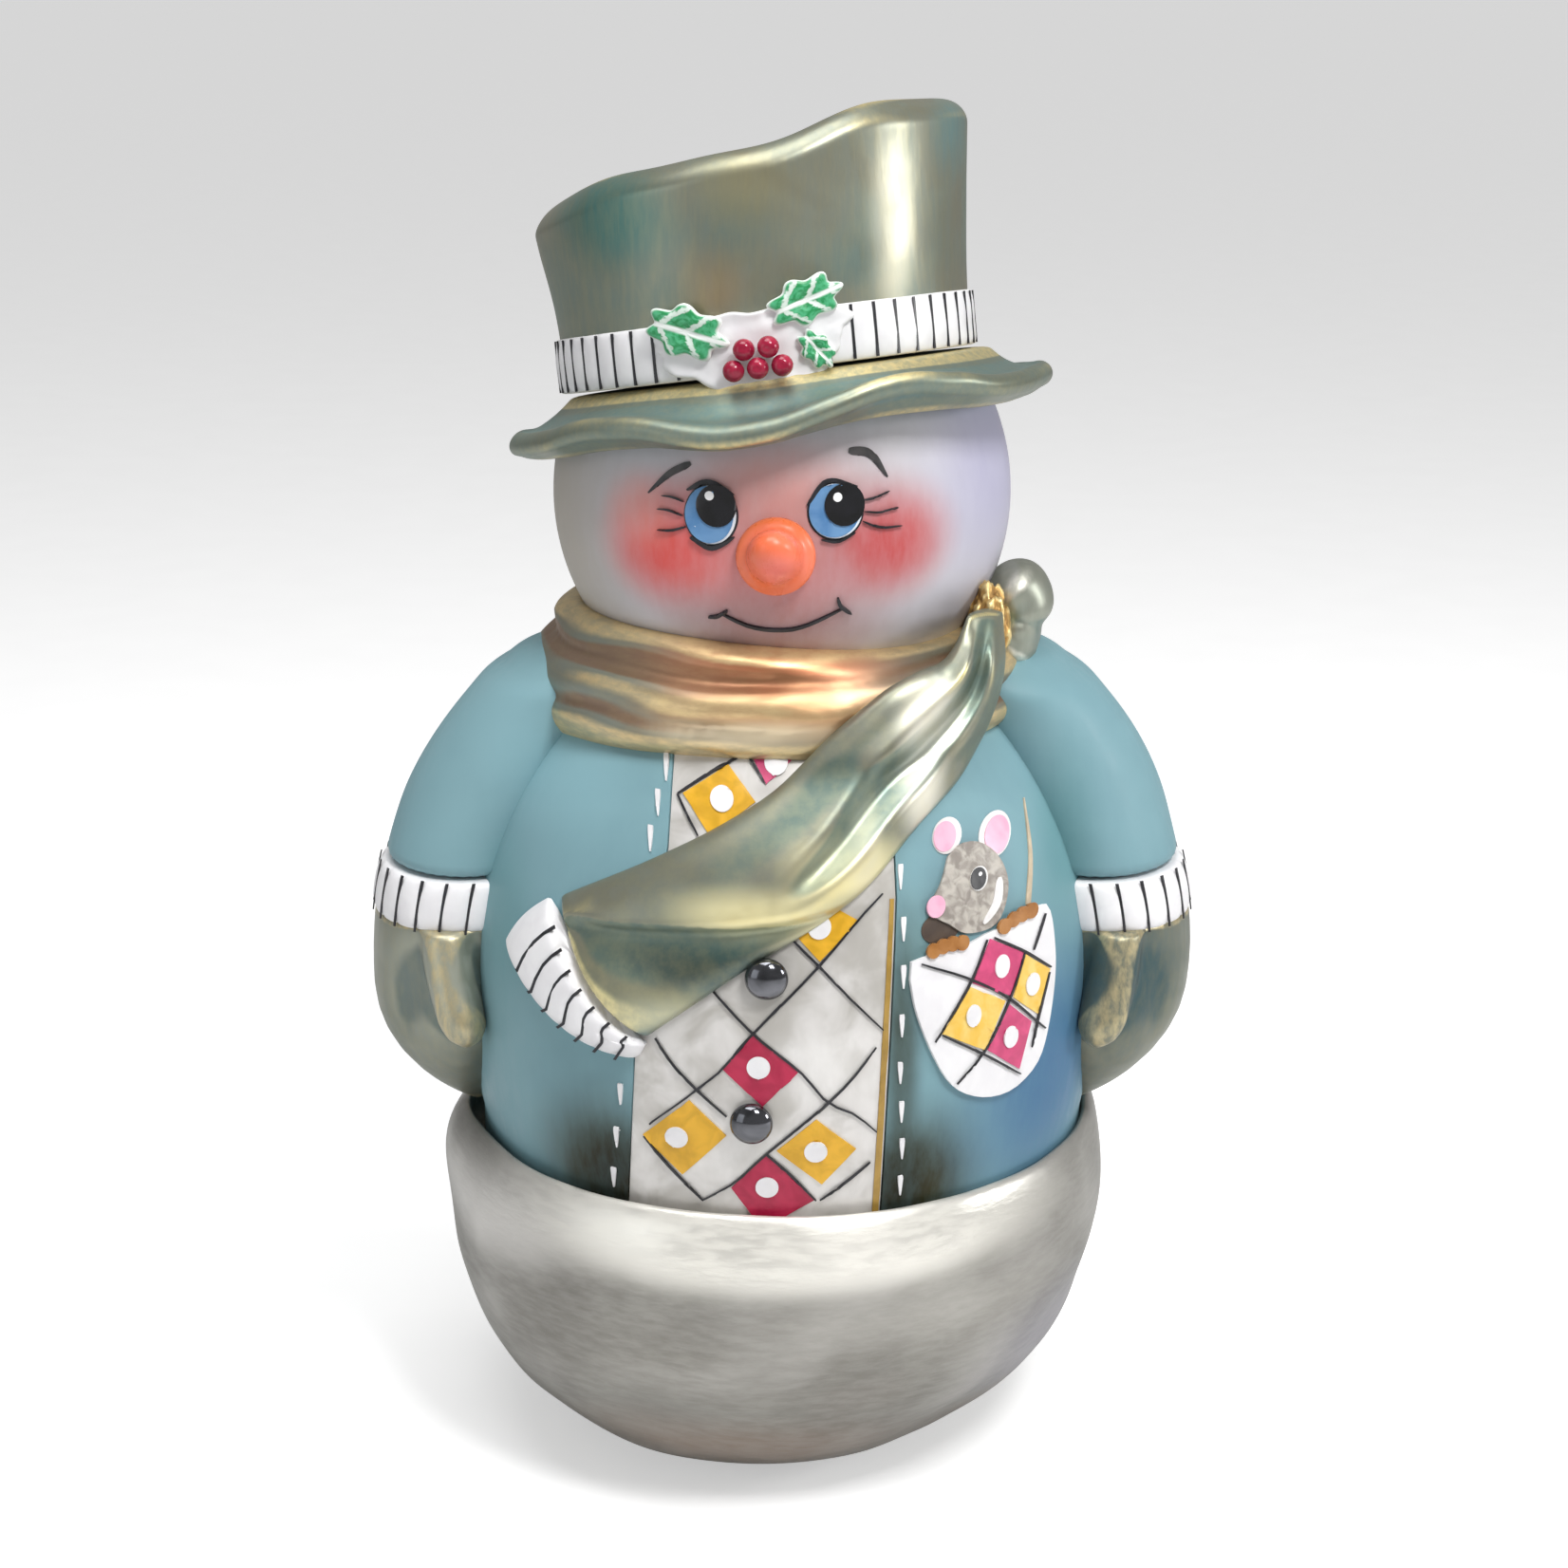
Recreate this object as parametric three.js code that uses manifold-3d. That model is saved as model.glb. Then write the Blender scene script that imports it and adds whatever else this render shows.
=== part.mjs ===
// Wooden snowman figure: turned and carved pieces, doweled and glued.
// Millimetres. +Z is up, the figure faces -Y, and left is -X, as seen from the front.
// The origin is the middle of the foot, on the face that it stands on.
import * as THREE from "three";
import { mergeVertices } from "three/addons/utils/BufferGeometryUtils.js";
import Module from "manifold-3d";

const GAP = 0.3; // glue line between neighbouring pieces

// Snowball
const LIP_WIDTH = 5.8; // how far it stands outside the coat at its widest
const BALL_HEIGHT = 64.5;
const BALL_LEAN = -1.4; // how far its belly hangs to the left
const FOOT_LEAN = -2.6; // and its foot beyond that
const FOOT_RADIUS = 29;
const SEAT_DEPTH = 12; // socket that takes the bottom of the coat
const LIP_ROUND = 2.6;
const PAD_RADIUS = 25;
const PAD_THICKNESS = 2;
const PAD_PROUD = 0.8;

// Coat
const COAT_RADIUS = 60;
const COAT_HEIGHT = 86; // from the snowball's lip to the neck
const WAIST_TUCK = 0.045; // share of the radius lost at the lip
const SHOULDER_TUCK = 0.4; // and at the neck
const PANEL_WIDTH = 43;
const PANEL_CENTRE = -3;
const PANEL_SLANT = 4.5; // how far the panel moves to the right over the coat's height
const PANEL_DEPTH = 3;
const PANEL_RECESS = 0.4;
const POCKET_WIDTH = 25;
const POCKET_DROP = 27;
const POCKET_PROUD = 0.9;
const POCKET_X = 35;
const POCKET_DEPTH = 1;
const BUTTON_RADIUS = 3.8;
const BUTTON_RISE = 3.2;

// Arms
const ARM_STANDOUT = 17; // how far an arm stands out of the coat
const ARM_DEPTH = 20; // half its width from front to back
const SHOULDER_LIFT = 2; // the right shoulder is a little fuller
const HAND_TUCK = 2.6; // and the right hand is a little slimmer
const ARM_FORWARD = 5; // how far the hand comes forward
const CUFF_HEIGHT = 9.7;
const CUFF_PROUD = 0.6;
const HAND_HEIGHT = 39; // from the mitten's tip to the cuff
const THUMB_RADIUS = 4;

// Head
const HEAD_RADIUS = 41.5;
const HEAD_SINK = 0.73; // height of the head's middle over its flat bottom, in radii
const NOSE_RADIUS = 6.8;
const NOSE_RISE = 9;

// Scarf
const WRAP_EASE = -0.2; // added to the mean of the coat's neck and the head
const WRAP_ROLL = 7.6;
const KNOT_HALF_WIDTH = 6.6;
const KNOT_HALF_DEPTH = 9.5;
const KNOT_HALF_HEIGHT = 9.3;
const TAIL_HALF_WIDTH = 11;
const TAIL_THICKNESS = 5;
const FRINGE_LENGTH = 8;

// Hat
const HAT_TILT = 0.123; // rise per mm towards the right
const HAT_BACK = 0.13; // rise per mm towards the front
const BRIM_WIDTH = 13; // how far it stands outside the crown
const BRIM_HEIGHT = 9.1;
const BRIM_EDGE = 2.1;
const BRIM_WAVE = 2.8;
const CROWN_RADIUS = 36;
const CROWN_HEIGHT = 38;
const CROWN_FLARE = 2.7;
const CROWN_SLUMP = 0.15; // extra slope of the top
const CROWN_SHIFT = -3.6; // how far the top leans to the left
const CROWN_ROUND = 8;
const BAND_HEIGHT = 9.8;
const BAND_THICKNESS = 1;
const PLAQUE_HALF_WIDTH = 16.2;
const PLAQUE_HALF_HEIGHT = 7;
const PLAQUE_THICKNESS = 2.4;
const LEAF_LENGTH = 11.5;
const LEAF_THICKNESS = 1.5;
const BERRY_RADIUS = 1.7;

// Dowels
const BIG_DOWEL = 6;
const ARM_DOWEL = 3;
const DOWEL_REACH = 10; // how far a dowel goes into each piece

const BALL_RADIUS = COAT_RADIUS * (1 - WAIST_TUCK) + GAP + LIP_WIDTH;
const COAT_TOP = BALL_HEIGHT + COAT_HEIGHT;
const COAT_BASE = BALL_HEIGHT - SEAT_DEPTH + GAP;
const HEAD_BASE = COAT_TOP + GAP;
const HEAD_Z = HEAD_BASE + HEAD_SINK * HEAD_RADIUS;
const HAT_Z = HEAD_Z + 0.3 * HEAD_RADIUS;
const HAT_X = -0.35;
const CROWN_X = -2.1; // the crown stands a little to the left on the brim
const BRIM_RADIUS = CROWN_RADIUS + BRIM_WIDTH;
const WRAP_RADIUS = (COAT_RADIUS * (1 - SHOULDER_TUCK) + HEAD_RADIUS) / 2 + WRAP_EASE;
const CUFF_BASE = BALL_HEIGHT + HAND_HEIGHT + GAP;
const CUFF_TOP = CUFF_BASE + CUFF_HEIGHT;
const CROWN_BASE = BRIM_HEIGHT + GAP;
const SPRIG = [-2.4, 5.2 + CROWN_BASE]; // the sprig's middle on the crown

const wasm = await Module();
wasm.setup();

// A three.js geometry as a solid that can be added to or cut.
function solid(geometry) {
  const bare = geometry.clone();
  bare.deleteAttribute("normal");
  bare.deleteAttribute("uv");
  const merged = mergeVertices(bare, 1e-4);
  const vertProperties = new Float32Array(merged.attributes.position.array);
  const triVerts = new Uint32Array(merged.index.array);
  return new wasm.Manifold(new wasm.Mesh({ numProp: 3, vertProperties, triVerts }));
}

function cut(piece, ...tools) {
  return tools.reduce((left, tool) => left.subtract(tool), piece);
}

// Moves every vertex with the given function.
function bend(geometry, move) {
  const place = geometry.attributes.position;
  const v = new THREE.Vector3();
  for (let i = 0; i < place.count; i++) {
    move(v.fromBufferAttribute(place, i));
    place.setXYZ(i, v.x, v.y, v.z);
  }
  return geometry;
}

// A profile of [radius, height] pairs, from the bottom up, turned about Z.
function turned(profile, segments = 40) {
  const points = profile.map(([r, z]) => new THREE.Vector2(r, z));
  return new THREE.LatheGeometry(points, segments).rotateX(Math.PI / 2);
}

function cylinder(radius, from, to, segments = 20) {
  return turned([[0, from], [radius, from], [radius, to], [0, to]], segments);
}

// A closed skin over rings of equal count, each running anticlockwise about the way ahead.
function loft(rings, looped = false) {
  const around = rings[0].length;
  const points = rings.flat();
  const index = [];
  const spans = looped ? rings.length : rings.length - 1;
  for (let i = 0; i < spans; i++) {
    const low = i * around;
    const high = ((i + 1) % rings.length) * around;
    for (let j = 0; j < around; j++) {
      const k = (j + 1) % around;
      index.push(low + j, low + k, high + k, low + j, high + k, high + j);
    }
  }
  if (!looped) {
    const last = (rings.length - 1) * around;
    const start = points.push(middle(rings[0])) - 1;
    const end = points.push(middle(rings.at(-1))) - 1;
    for (let j = 0; j < around; j++) {
      const k = (j + 1) % around;
      index.push(start, k, j, end, last + j, last + k);
    }
  }
  return new THREE.BufferGeometry().setFromPoints(points).setIndex(index);
}

function middle(ring) {
  const sum = new THREE.Vector3();
  ring.forEach((p) => sum.add(p));
  return sum.divideScalar(ring.length);
}

function steps(from, to, count) {
  return Array.from({ length: count + 1 }, (_, i) => from + ((to - from) * i) / count);
}

function angles(count) {
  return steps(0, 2 * Math.PI, count).slice(0, -1);
}

function ramp(value, from, to) {
  return THREE.MathUtils.smoothstep(value, from, to);
}

// Coat

function coatRadius(z) {
  const t = THREE.MathUtils.clamp((z - BALL_HEIGHT) / COAT_HEIGHT, 0, 1);
  if (t < 0.3) return COAT_RADIUS * (1 - WAIST_TUCK * (1 - t / 0.3) ** 2);
  return COAT_RADIUS * (1 - SHOULDER_TUCK * ((t - 0.3) / 0.7) ** 2.4);
}

function coatForm(grow = 0) {
  const side = steps(BALL_HEIGHT, COAT_TOP, 10).map((z) => [coatRadius(z) + grow, z]);
  side.unshift([coatRadius(BALL_HEIGHT) + grow, COAT_BASE - Math.max(grow, 0)]);
  side.push([coatRadius(COAT_TOP) + grow, COAT_TOP + Math.max(grow, 0)]);
  if (grow <= 0) side.pop();
  return solid(turned([[0, side[0][1]], ...side, [0, side.at(-1)[1]]], 48));
}

// An outline of [x, z] pairs, pushed through the front half of the figure.
function frontPrism(outline) {
  const shape = new THREE.Shape(outline.map(([x, z]) => new THREE.Vector2(x, z)));
  const depth = 2 * COAT_RADIUS;
  const geometry = new THREE.ExtrudeGeometry(shape, { depth, bevelEnabled: false });
  return solid(geometry.rotateX(Math.PI / 2));
}

function panelOutline(grow = 0) {
  const low = BALL_HEIGHT - SEAT_DEPTH / 3 - grow;
  const high = COAT_TOP - 0.06 * COAT_HEIGHT + grow;
  const half = PANEL_WIDTH / 2 + grow;
  const foot = PANEL_CENTRE - PANEL_SLANT / 2;
  const head = PANEL_CENTRE + PANEL_SLANT / 2;
  const narrow = 0.86 * half;
  return [[foot - half, low], [foot + half, low], [head + narrow, high], [head - narrow, high]];
}

function pocketTop() {
  return BALL_HEIGHT + 0.555 * COAT_HEIGHT;
}

// A half oval that hangs from a straight, slightly sloping top edge.
function pocketOutline(grow = 0) {
  const half = POCKET_WIDTH / 2 + grow;
  const drop = POCKET_DROP + 2 * grow;
  const top = pocketTop() + grow;
  const arc = steps(0, Math.PI, 16).map((a) => [
    POCKET_X - half * Math.cos(a) * (1 - 0.1 * Math.sin(a)),
    top - drop * Math.sin(a) ** 0.8 - 2 + 2 * Math.abs(Math.cos(a)) - 1.6 * Math.cos(a),
  ]);
  return arc;
}

// A skin of the coat's own form inside an outline, from depth under it to proud over it.
function inlay(outline, proud, depth) {
  return coatForm(proud).intersect(frontPrism(outline)).subtract(coatForm(-depth));
}

function inlayPocket(outline, depth) {
  return frontPrism(outline).subtract(coatForm(-depth - GAP));
}

// A point over the coat's front and the direction that the coat faces there.
function coatSpot(x, z, out = 0) {
  const r = coatRadius(z);
  const y = -Math.sqrt(r * r - x * x);
  const rise = (coatRadius(z + 1) - coatRadius(z - 1)) / 2;
  const facing = new THREE.Vector3(x / r, y / r, -rise).normalize();
  return { at: new THREE.Vector3(x, y, z).addScaledVector(facing, out), facing };
}

// A domed knob with a peg behind it, standing on +Z.
function knob(radius, rise, grow = 0) {
  const peg = 0.38 * radius + grow;
  const dome = steps(0, Math.PI / 2, 5).map((a) => [
    (radius + grow) * Math.cos(a),
    0.18 * rise + (0.82 * rise + grow) * Math.sin(a),
  ]);
  dome.at(-1)[0] = 0;
  const foot = [[0, -0.9 * radius - grow], [peg, -0.9 * radius - grow], [peg, -grow]];
  return turned([...foot, [0.86 * (radius + grow), -grow], ...dome], 24);
}

function aimed(geometry, spot) {
  const turn = new THREE.Quaternion().setFromUnitVectors(new THREE.Vector3(0, 0, 1), spot.facing);
  return solid(geometry.applyQuaternion(turn).translate(...spot.at.toArray()));
}

function buttonSpots() {
  const lift = GAP - PANEL_RECESS + 0.15;
  const upper = coatSpot(PANEL_CENTRE + 0.4, BALL_HEIGHT + 0.508 * COAT_HEIGHT, lift);
  const lower = coatSpot(PANEL_CENTRE - 2.2, BALL_HEIGHT + 0.205 * COAT_HEIGHT, lift);
  return [upper, lower];
}

// Snowball

function ballForm(grow = 0) {
  const outline = new THREE.SplineCurve(
    [
      [FOOT_RADIUS, PAD_PROUD],
      [0.67 * BALL_RADIUS, 0.1 * BALL_HEIGHT],
      [0.84 * BALL_RADIUS, 0.25 * BALL_HEIGHT],
      [0.96 * BALL_RADIUS, 0.49 * BALL_HEIGHT],
      [BALL_RADIUS, 0.76 * BALL_HEIGHT],
      [0.992 * BALL_RADIUS, 0.95 * BALL_HEIGHT],
      [0.965 * BALL_RADIUS, BALL_HEIGHT],
    ].map(([r, z]) => new THREE.Vector2(r, z)),
  );
  const side = outline.getPoints(14).map((p) => [p.x + grow, p.y]);
  side.at(-1)[1] += grow;
  side[0][1] -= grow;
  const shape = turned([[0, side[0][1]], ...side, [0, side.at(-1)[1]]], 52);
  return solid(bend(shape, leanBall));
}

// The belly hangs to one side, and hands have pressed shallow dents into it.
function leanBall(v) {
  const dents = [[-0.9, 0.2, 2.2], [-1.9, 0.3, 1.6], [0.6, 0.25, 1.8], [2.4, 0.45, 1.8], [-3, 0.93, -2]];
  const way = Math.atan2(v.y, v.x);
  const level = v.z / BALL_HEIGHT;
  const near = dents.map(([a, l, deep]) => {
    const turn = Math.atan2(Math.sin(way - a), Math.cos(way - a));
    return deep * Math.exp(-((turn / 0.28) ** 2) - ((level - l) / 0.13) ** 2);
  });
  const radius = Math.hypot(v.x, v.y);
  const press = radius > 1 ? 1 - near.reduce((a, b) => a + b) / radius : 1;
  v.x = v.x * press + BALL_LEAN * (1 - level ** 8) + FOOT_LEAN * (1 - level) ** 3;
  v.y *= press;
}

// The socket for the coat, opening outwards at the lip.
function seatTool() {
  const r = coatRadius(BALL_HEIGHT) + GAP;
  const flare = steps(0, Math.PI / 2, 4).map((a) => [
    r + LIP_ROUND * (1 - Math.cos(a)),
    BALL_HEIGHT + GAP - LIP_ROUND * (1 - Math.sin(a)),
  ]);
  const base = COAT_BASE - GAP;
  const top = BALL_HEIGHT + 5;
  return solid(turned([[0, base], [r, base], ...flare, [r + LIP_ROUND, top], [0, top]], 48));
}

function pad(grow = 0) {
  const high = PAD_THICKNESS + grow;
  return solid(cylinder(PAD_RADIUS + grow, -grow, high, 48).translate(BALL_LEAN + FOOT_LEAN, 0, 0));
}

// Arms. Each hugs the coat, and its ring of points at a height is half outside it.

function armRing(side, z, scale, count) {
  const fuller = SHOULDER_LIFT * ramp(z, CUFF_TOP, COAT_TOP - 6);
  const slimmer = HAND_TUCK * (1 - ramp(z, BALL_HEIGHT, CUFF_BASE - 4));
  const x = coatRadius(z) + 0.5 + (side > 0 ? fuller - slimmer : 0);
  const y = -ARM_FORWARD * (0.4 + 0.8 * ramp(COAT_TOP - z, 0, COAT_HEIGHT));
  return angles(count).map((a) => {
    const reach = (ARM_STANDOUT - 0.5) * scale * Math.cos(a);
    const forward = ARM_DEPTH * scale * Math.sin(a);
    return new THREE.Vector3(side * (x + reach), y + side * forward, z);
  });
}

// Share of the arm's full section, closing over the shoulder and under the hand.
function armScale(z) {
  const shoulder = COAT_TOP - 4;
  const palm = BALL_HEIGHT + 27;
  if (z > shoulder) return Math.sqrt(Math.max(1 - ((z - shoulder) / 9) ** 2, 0.01));
  if (z < palm) return 1 - 0.93 * ((palm - z) / (palm - BALL_HEIGHT - GAP)) ** 2.4;
  return 1;
}

function armPiece(side, heights, grow = 0, count = 20) {
  const rings = heights.map((z) => armRing(side, z, armScale(z) + grow / ARM_STANDOUT, count));
  return solid(loft(rings));
}

function sleeve(side) {
  const heights = [...steps(CUFF_TOP + GAP, COAT_TOP - 4, 5), ...steps(COAT_TOP - 2, COAT_TOP + 4, 3)];
  const neck = solid(cylinder(WRAP_RADIUS, COAT_TOP - 1, COAT_TOP + 20, 48));
  return armPiece(side, heights, -0.3).subtract(neck);
}

function cuff(side) {
  const rings = [[0, -0.4], [0.12, 0], [0.5, 0.15], [0.88, 0], [1, -0.4]];
  const made = rings.map(([t, grow]) => {
    const z = CUFF_BASE + t * CUFF_HEIGHT;
    return armRing(side, z, 1 + (CUFF_PROUD + grow) / ARM_STANDOUT, 20);
  });
  return solid(loft(made));
}

function thumb(side) {
  const top = CUFF_BASE - 1.5;
  const x = coatRadius(top);
  const from = new THREE.Vector3(side * (x + 0.5), -ARM_FORWARD - ARM_DEPTH + 1, top);
  const to = new THREE.Vector3(side * (x - 4), -ARM_FORWARD - ARM_DEPTH - 4, top - 16);
  const rings = steps(0, Math.PI, 8).map((a) => {
    const at = from.clone().lerp(to, 0.5 - 0.62 * Math.cos(a));
    const r = THREE.MathUtils.lerp(1.1, 0.95, a / Math.PI) * THUMB_RADIUS * (0.05 + Math.sin(a) ** 0.5);
    return angles(12).map((b) => new THREE.Vector3(at.x + r * Math.cos(b), at.y - r * Math.sin(b), at.z));
  });
  return solid(loft(rings));
}

function mitten(side) {
  const tip = BALL_HEIGHT + 2 * GAP;
  const heights = [...steps(tip, tip + 8, 4), ...steps(tip + 12, CUFF_BASE - GAP, 4)];
  return armPiece(side, heights).add(thumb(side).trimByPlane([0, 0, -1], -(CUFF_BASE - GAP)));
}

function armDowel(side, grow = 0) {
  const z = CUFF_TOP + 0.35 * (COAT_TOP - CUFF_TOP);
  const pin = cylinder(ARM_DOWEL + grow, -DOWEL_REACH + 1 - grow, DOWEL_REACH - 1 + grow, 24);
  return solid(pin.rotateY(Math.PI / 2).translate(side * coatRadius(z), -3, z));
}

function upright(radius, z, reach, grow = 0, x = 0) {
  return solid(cylinder(radius + grow, z - reach - grow, z + reach + grow).translate(x, 0, 0));
}

// Head

function headForm(grow = 0) {
  const r = HEAD_RADIUS + grow;
  const low = -Math.asin(HEAD_SINK);
  const arc = steps(low, Math.PI / 2, 13).map((a) => [HEAD_RADIUS * Math.cos(a), HEAD_RADIUS * Math.sin(a)]);
  const side = arc.map(([x, y]) => [(x * r) / HEAD_RADIUS, HEAD_Z + (y * r) / HEAD_RADIUS]);
  side.at(-1)[0] = 0;
  side[0][1] = HEAD_BASE - grow;
  return solid(bend(turned([[0, HEAD_BASE - grow], ...side], 44), fullCheeks));
}

// The cheeks are a little fuller than a ball.
function fullCheeks(v) {
  const front = ramp(-v.y, 0, HEAD_RADIUS);
  const cheek = Math.exp(-(((Math.abs(v.x) - 17) / 12) ** 2) - ((v.z - HEAD_Z + 7) / 11) ** 2);
  const full = 1 + (0.9 * front * cheek) / HEAD_RADIUS;
  v.x *= full;
  v.y *= full;
}

function nose(grow = 0) {
  const facing = new THREE.Vector3(-0.025, -1, -0.09).normalize();
  const at = new THREE.Vector3(0, 0, HEAD_Z).addScaledVector(facing, HEAD_RADIUS + 0.6);
  return aimed(knob(NOSE_RADIUS, NOSE_RISE, grow), { at, facing });
}

// Hat. It is shaped upright on its own floor and then leaned over the head.

function leanHat(v) {
  const h = v.z;
  const up = THREE.MathUtils.clamp((h - CROWN_BASE) / CROWN_HEIGHT, 0, 1);
  const slope = HAT_TILT + CROWN_SLUMP * ramp(h, CROWN_BASE + BAND_HEIGHT, CROWN_BASE + CROWN_HEIGHT);
  v.z = HAT_Z + h + v.x * slope - v.y * HAT_BACK;
  v.x += HAT_X + CROWN_SHIFT * up;
  v.y += HAT_BACK * h;
}

function crownRadius(h) {
  return CROWN_RADIUS + CROWN_FLARE * ((h - CROWN_BASE) / CROWN_HEIGHT);
}

function crown() {
  const top = CROWN_BASE + CROWN_HEIGHT;
  const wall = steps(CROWN_BASE, top - CROWN_ROUND, 6).map((h) => [crownRadius(h), h]);
  const edge = steps(0, Math.PI / 2, 4).slice(1).map((a) => [
    crownRadius(top) - CROWN_ROUND * (1 - Math.cos(a)),
    top - CROWN_ROUND * (1 - Math.sin(a)),
  ]);
  const profile = [[0, CROWN_BASE], ...wall, ...edge, [0.45 * CROWN_RADIUS, top + 0.5], [0, top + 0.6]];
  return solid(bend(turned(profile, 44).translate(CROWN_X, 0, 0), leanHat));
}

function band() {
  const [low, high] = [CROWN_BASE + GAP / 2, CROWN_BASE + BAND_HEIGHT];
  const mid = (low + high) / 2;
  const out = crownRadius(mid) + BAND_THICKNESS;
  const hole = crownRadius(high) + GAP;
  const profile = [[hole, low], [out - 0.4, low], [out, low + 0.8], [out + 0.2, mid], [out, high - 0.8]];
  const ring = turned([...profile, [out - 0.4, high], [hole, high], [hole, low]], 44);
  return solid(bend(ring.translate(CROWN_X, 0, 0), leanHat));
}

// The brim's edge rises and falls round the front and droops to the left.
function waveBrim(v) {
  const way = Math.atan2(v.y, v.x);
  const out = ramp(Math.hypot(v.x, v.y), 0.8 * BRIM_RADIUS, BRIM_RADIUS);
  v.z += BRIM_WAVE * out * Math.sin(way) ** 2 * Math.cos(5 * (way + 1.08));
  v.z += 0.6 * out * Math.cos(way);
}

function brim(grow = 0) {
  const under = [[0.82, GAP], [0.87, -1.1], [0.92, -0.7]].map(([r, h]) => [r * BRIM_RADIUS, h - grow]);
  const centre = BRIM_RADIUS - BRIM_EDGE;
  const edge = steps(-Math.PI / 2, Math.PI / 2, 4).map((a) => [
    centre + (BRIM_EDGE + grow) * Math.cos(a),
    BRIM_EDGE + 0.3 + (BRIM_EDGE + grow) * Math.sin(a),
  ]);
  const over = [[0.89, 0.52], [0.82, 0.72], [0.77, 1]].map(([r, h]) => [
    r * BRIM_RADIUS,
    h * BRIM_HEIGHT + grow,
  ]);
  const profile = [[0, GAP - grow], ...under, ...edge, ...over, [0, BRIM_HEIGHT + grow]];
  const shape = bend(turned(profile, 56), waveBrim);
  return solid(bend(shape, leanHat));
}

// Everything over the head's sloping cut, or over a plane lifted off it.
function overHead(lift = 0) {
  const box = new THREE.BoxGeometry(4 * HEAD_RADIUS, 4 * HEAD_RADIUS, HEAD_RADIUS);
  const low = (v) => {
    v.z = HAT_Z + lift + v.z + (v.x - HAT_X) * HAT_TILT - v.y * HAT_BACK;
  };
  return solid(bend(box.translate(0, 0, HEAD_RADIUS / 2), low));
}

// A spot on the crown's front: s along it, h over the hat's floor, d out from it.
function onCrown(s, h, d) {
  const a = s / CROWN_RADIUS;
  const r = crownRadius(h) + d;
  const v = new THREE.Vector3(CROWN_X + r * Math.sin(a), -r * Math.cos(a), h);
  leanHat(v);
  return v;
}

// A low relief on the crown: an outline of [s, h] pairs about a centre, drawn in as it rises.
function relief(centre, outline, levels) {
  const rings = levels.map(([scale, d]) =>
    outline.map(([s, h]) => onCrown(centre[0] + s * scale, centre[1] + h * scale, d)),
  );
  return solid(loft(rings));
}

function plaque(grow = 0) {
  const outline = angles(36).map((a) => {
    const lobes = 1 + 0.05 * Math.sin(7 * a + 0.6) + 0.03 * Math.sin(12 * a);
    const r = lobes * (1 + (1.5 * grow) / PLAQUE_HALF_HEIGHT);
    const sag = 0.26 * PLAQUE_HALF_HEIGHT * Math.cos(2 * a - 0.35);
    return [PLAQUE_HALF_WIDTH * r * Math.cos(a), PLAQUE_HALF_HEIGHT * r * Math.sin(a) + sag];
  });
  const back = 1.5 * GAP - grow;
  const front = PLAQUE_THICKNESS + grow;
  const sunk = grow ? back - 1 : back;
  const under = [[0.35, sunk], [0.7, sunk], [1, sunk]];
  const over = [[1, front - 0.5], [0.96, front], [0.7, front], [0.35, front]];
  const levels = [...under, ...over];
  return relief(SPRIG, outline, levels);
}

// A holly leaf: a long oval with points round its edge.
function leaf(centre, share, turn) {
  const length = share * LEAF_LENGTH;
  const outline = angles(28).map((a, i) => {
    const spike = i % 4 === 0 ? 1.14 : i % 4 === 2 ? 0.86 : 1;
    const x = (length / 2) * spike * Math.cos(a);
    const y = 0.3 * length * spike * Math.sin(a);
    return [x * Math.cos(turn) - y * Math.sin(turn), x * Math.sin(turn) + y * Math.cos(turn)];
  });
  const low = PLAQUE_THICKNESS + GAP;
  const top = low + LEAF_THICKNESS;
  const levels = [[0.5, low], [1, low], [1, top - 0.9], [0.8, top - 0.3], [0.4, top]];
  const [s, h] = centre.map((c) => c * LEAF_LENGTH);
  return relief([SPRIG[0] + s, SPRIG[1] + h], outline, levels);
}

// A berry in the cluster, placed in steps of one berry and a gap.
function berry(s, h) {
  const pitch = 2 * BERRY_RADIUS + 1.2 * GAP;
  const out = PLAQUE_THICKNESS + GAP + BERRY_RADIUS;
  const at = onCrown(SPRIG[0] + 1.1 + s * pitch, SPRIG[1] - 1 + h * pitch, out);
  return solid(new THREE.SphereGeometry(BERRY_RADIUS, 12, 8).translate(...at.toArray()));
}

// Scarf

function wrapRoll(radius, roll, height, shift, wave, grow) {
  const rings = angles(36).map((a) => {
    const swell = roll * (1 + 0.07 * Math.sin(3 * a + wave)) + grow;
    const z = height + 0.9 * Math.sin(2 * a + 1.3 * wave);
    const centre = new THREE.Vector3(radius * Math.cos(a) + shift, radius * Math.sin(a), z);
    return angles(10).map((b) => {
      const out = swell * Math.cos(b);
      const up = swell * Math.sin(b);
      return new THREE.Vector3(centre.x + out * Math.cos(a), centre.y + out * Math.sin(a), z + up);
    });
  });
  return solid(loft(rings.map((ring) => ring.reverse()), true));
}

function wrapForm(grow = 0) {
  const upper = wrapRoll(0.96 * WRAP_RADIUS, 0.84 * WRAP_ROLL, COAT_TOP + 3.6, -1.2, 0.4, grow);
  const lower = wrapRoll(1.02 * WRAP_RADIUS, WRAP_ROLL, COAT_TOP - 0.8, 0, 2.1, grow);
  const fold = wrapRoll(0.99 * WRAP_RADIUS, 0.84 * WRAP_ROLL, COAT_TOP - 2.9, -2, 4, grow);
  return upper.add(lower).add(fold);
}

function knotMiddle() {
  const x = WRAP_RADIUS + 0.6 * KNOT_HALF_WIDTH;
  return new THREE.Vector3(x, -0.85 * KNOT_HALF_DEPTH, COAT_TOP + 1.1 * KNOT_HALF_HEIGHT);
}

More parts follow.
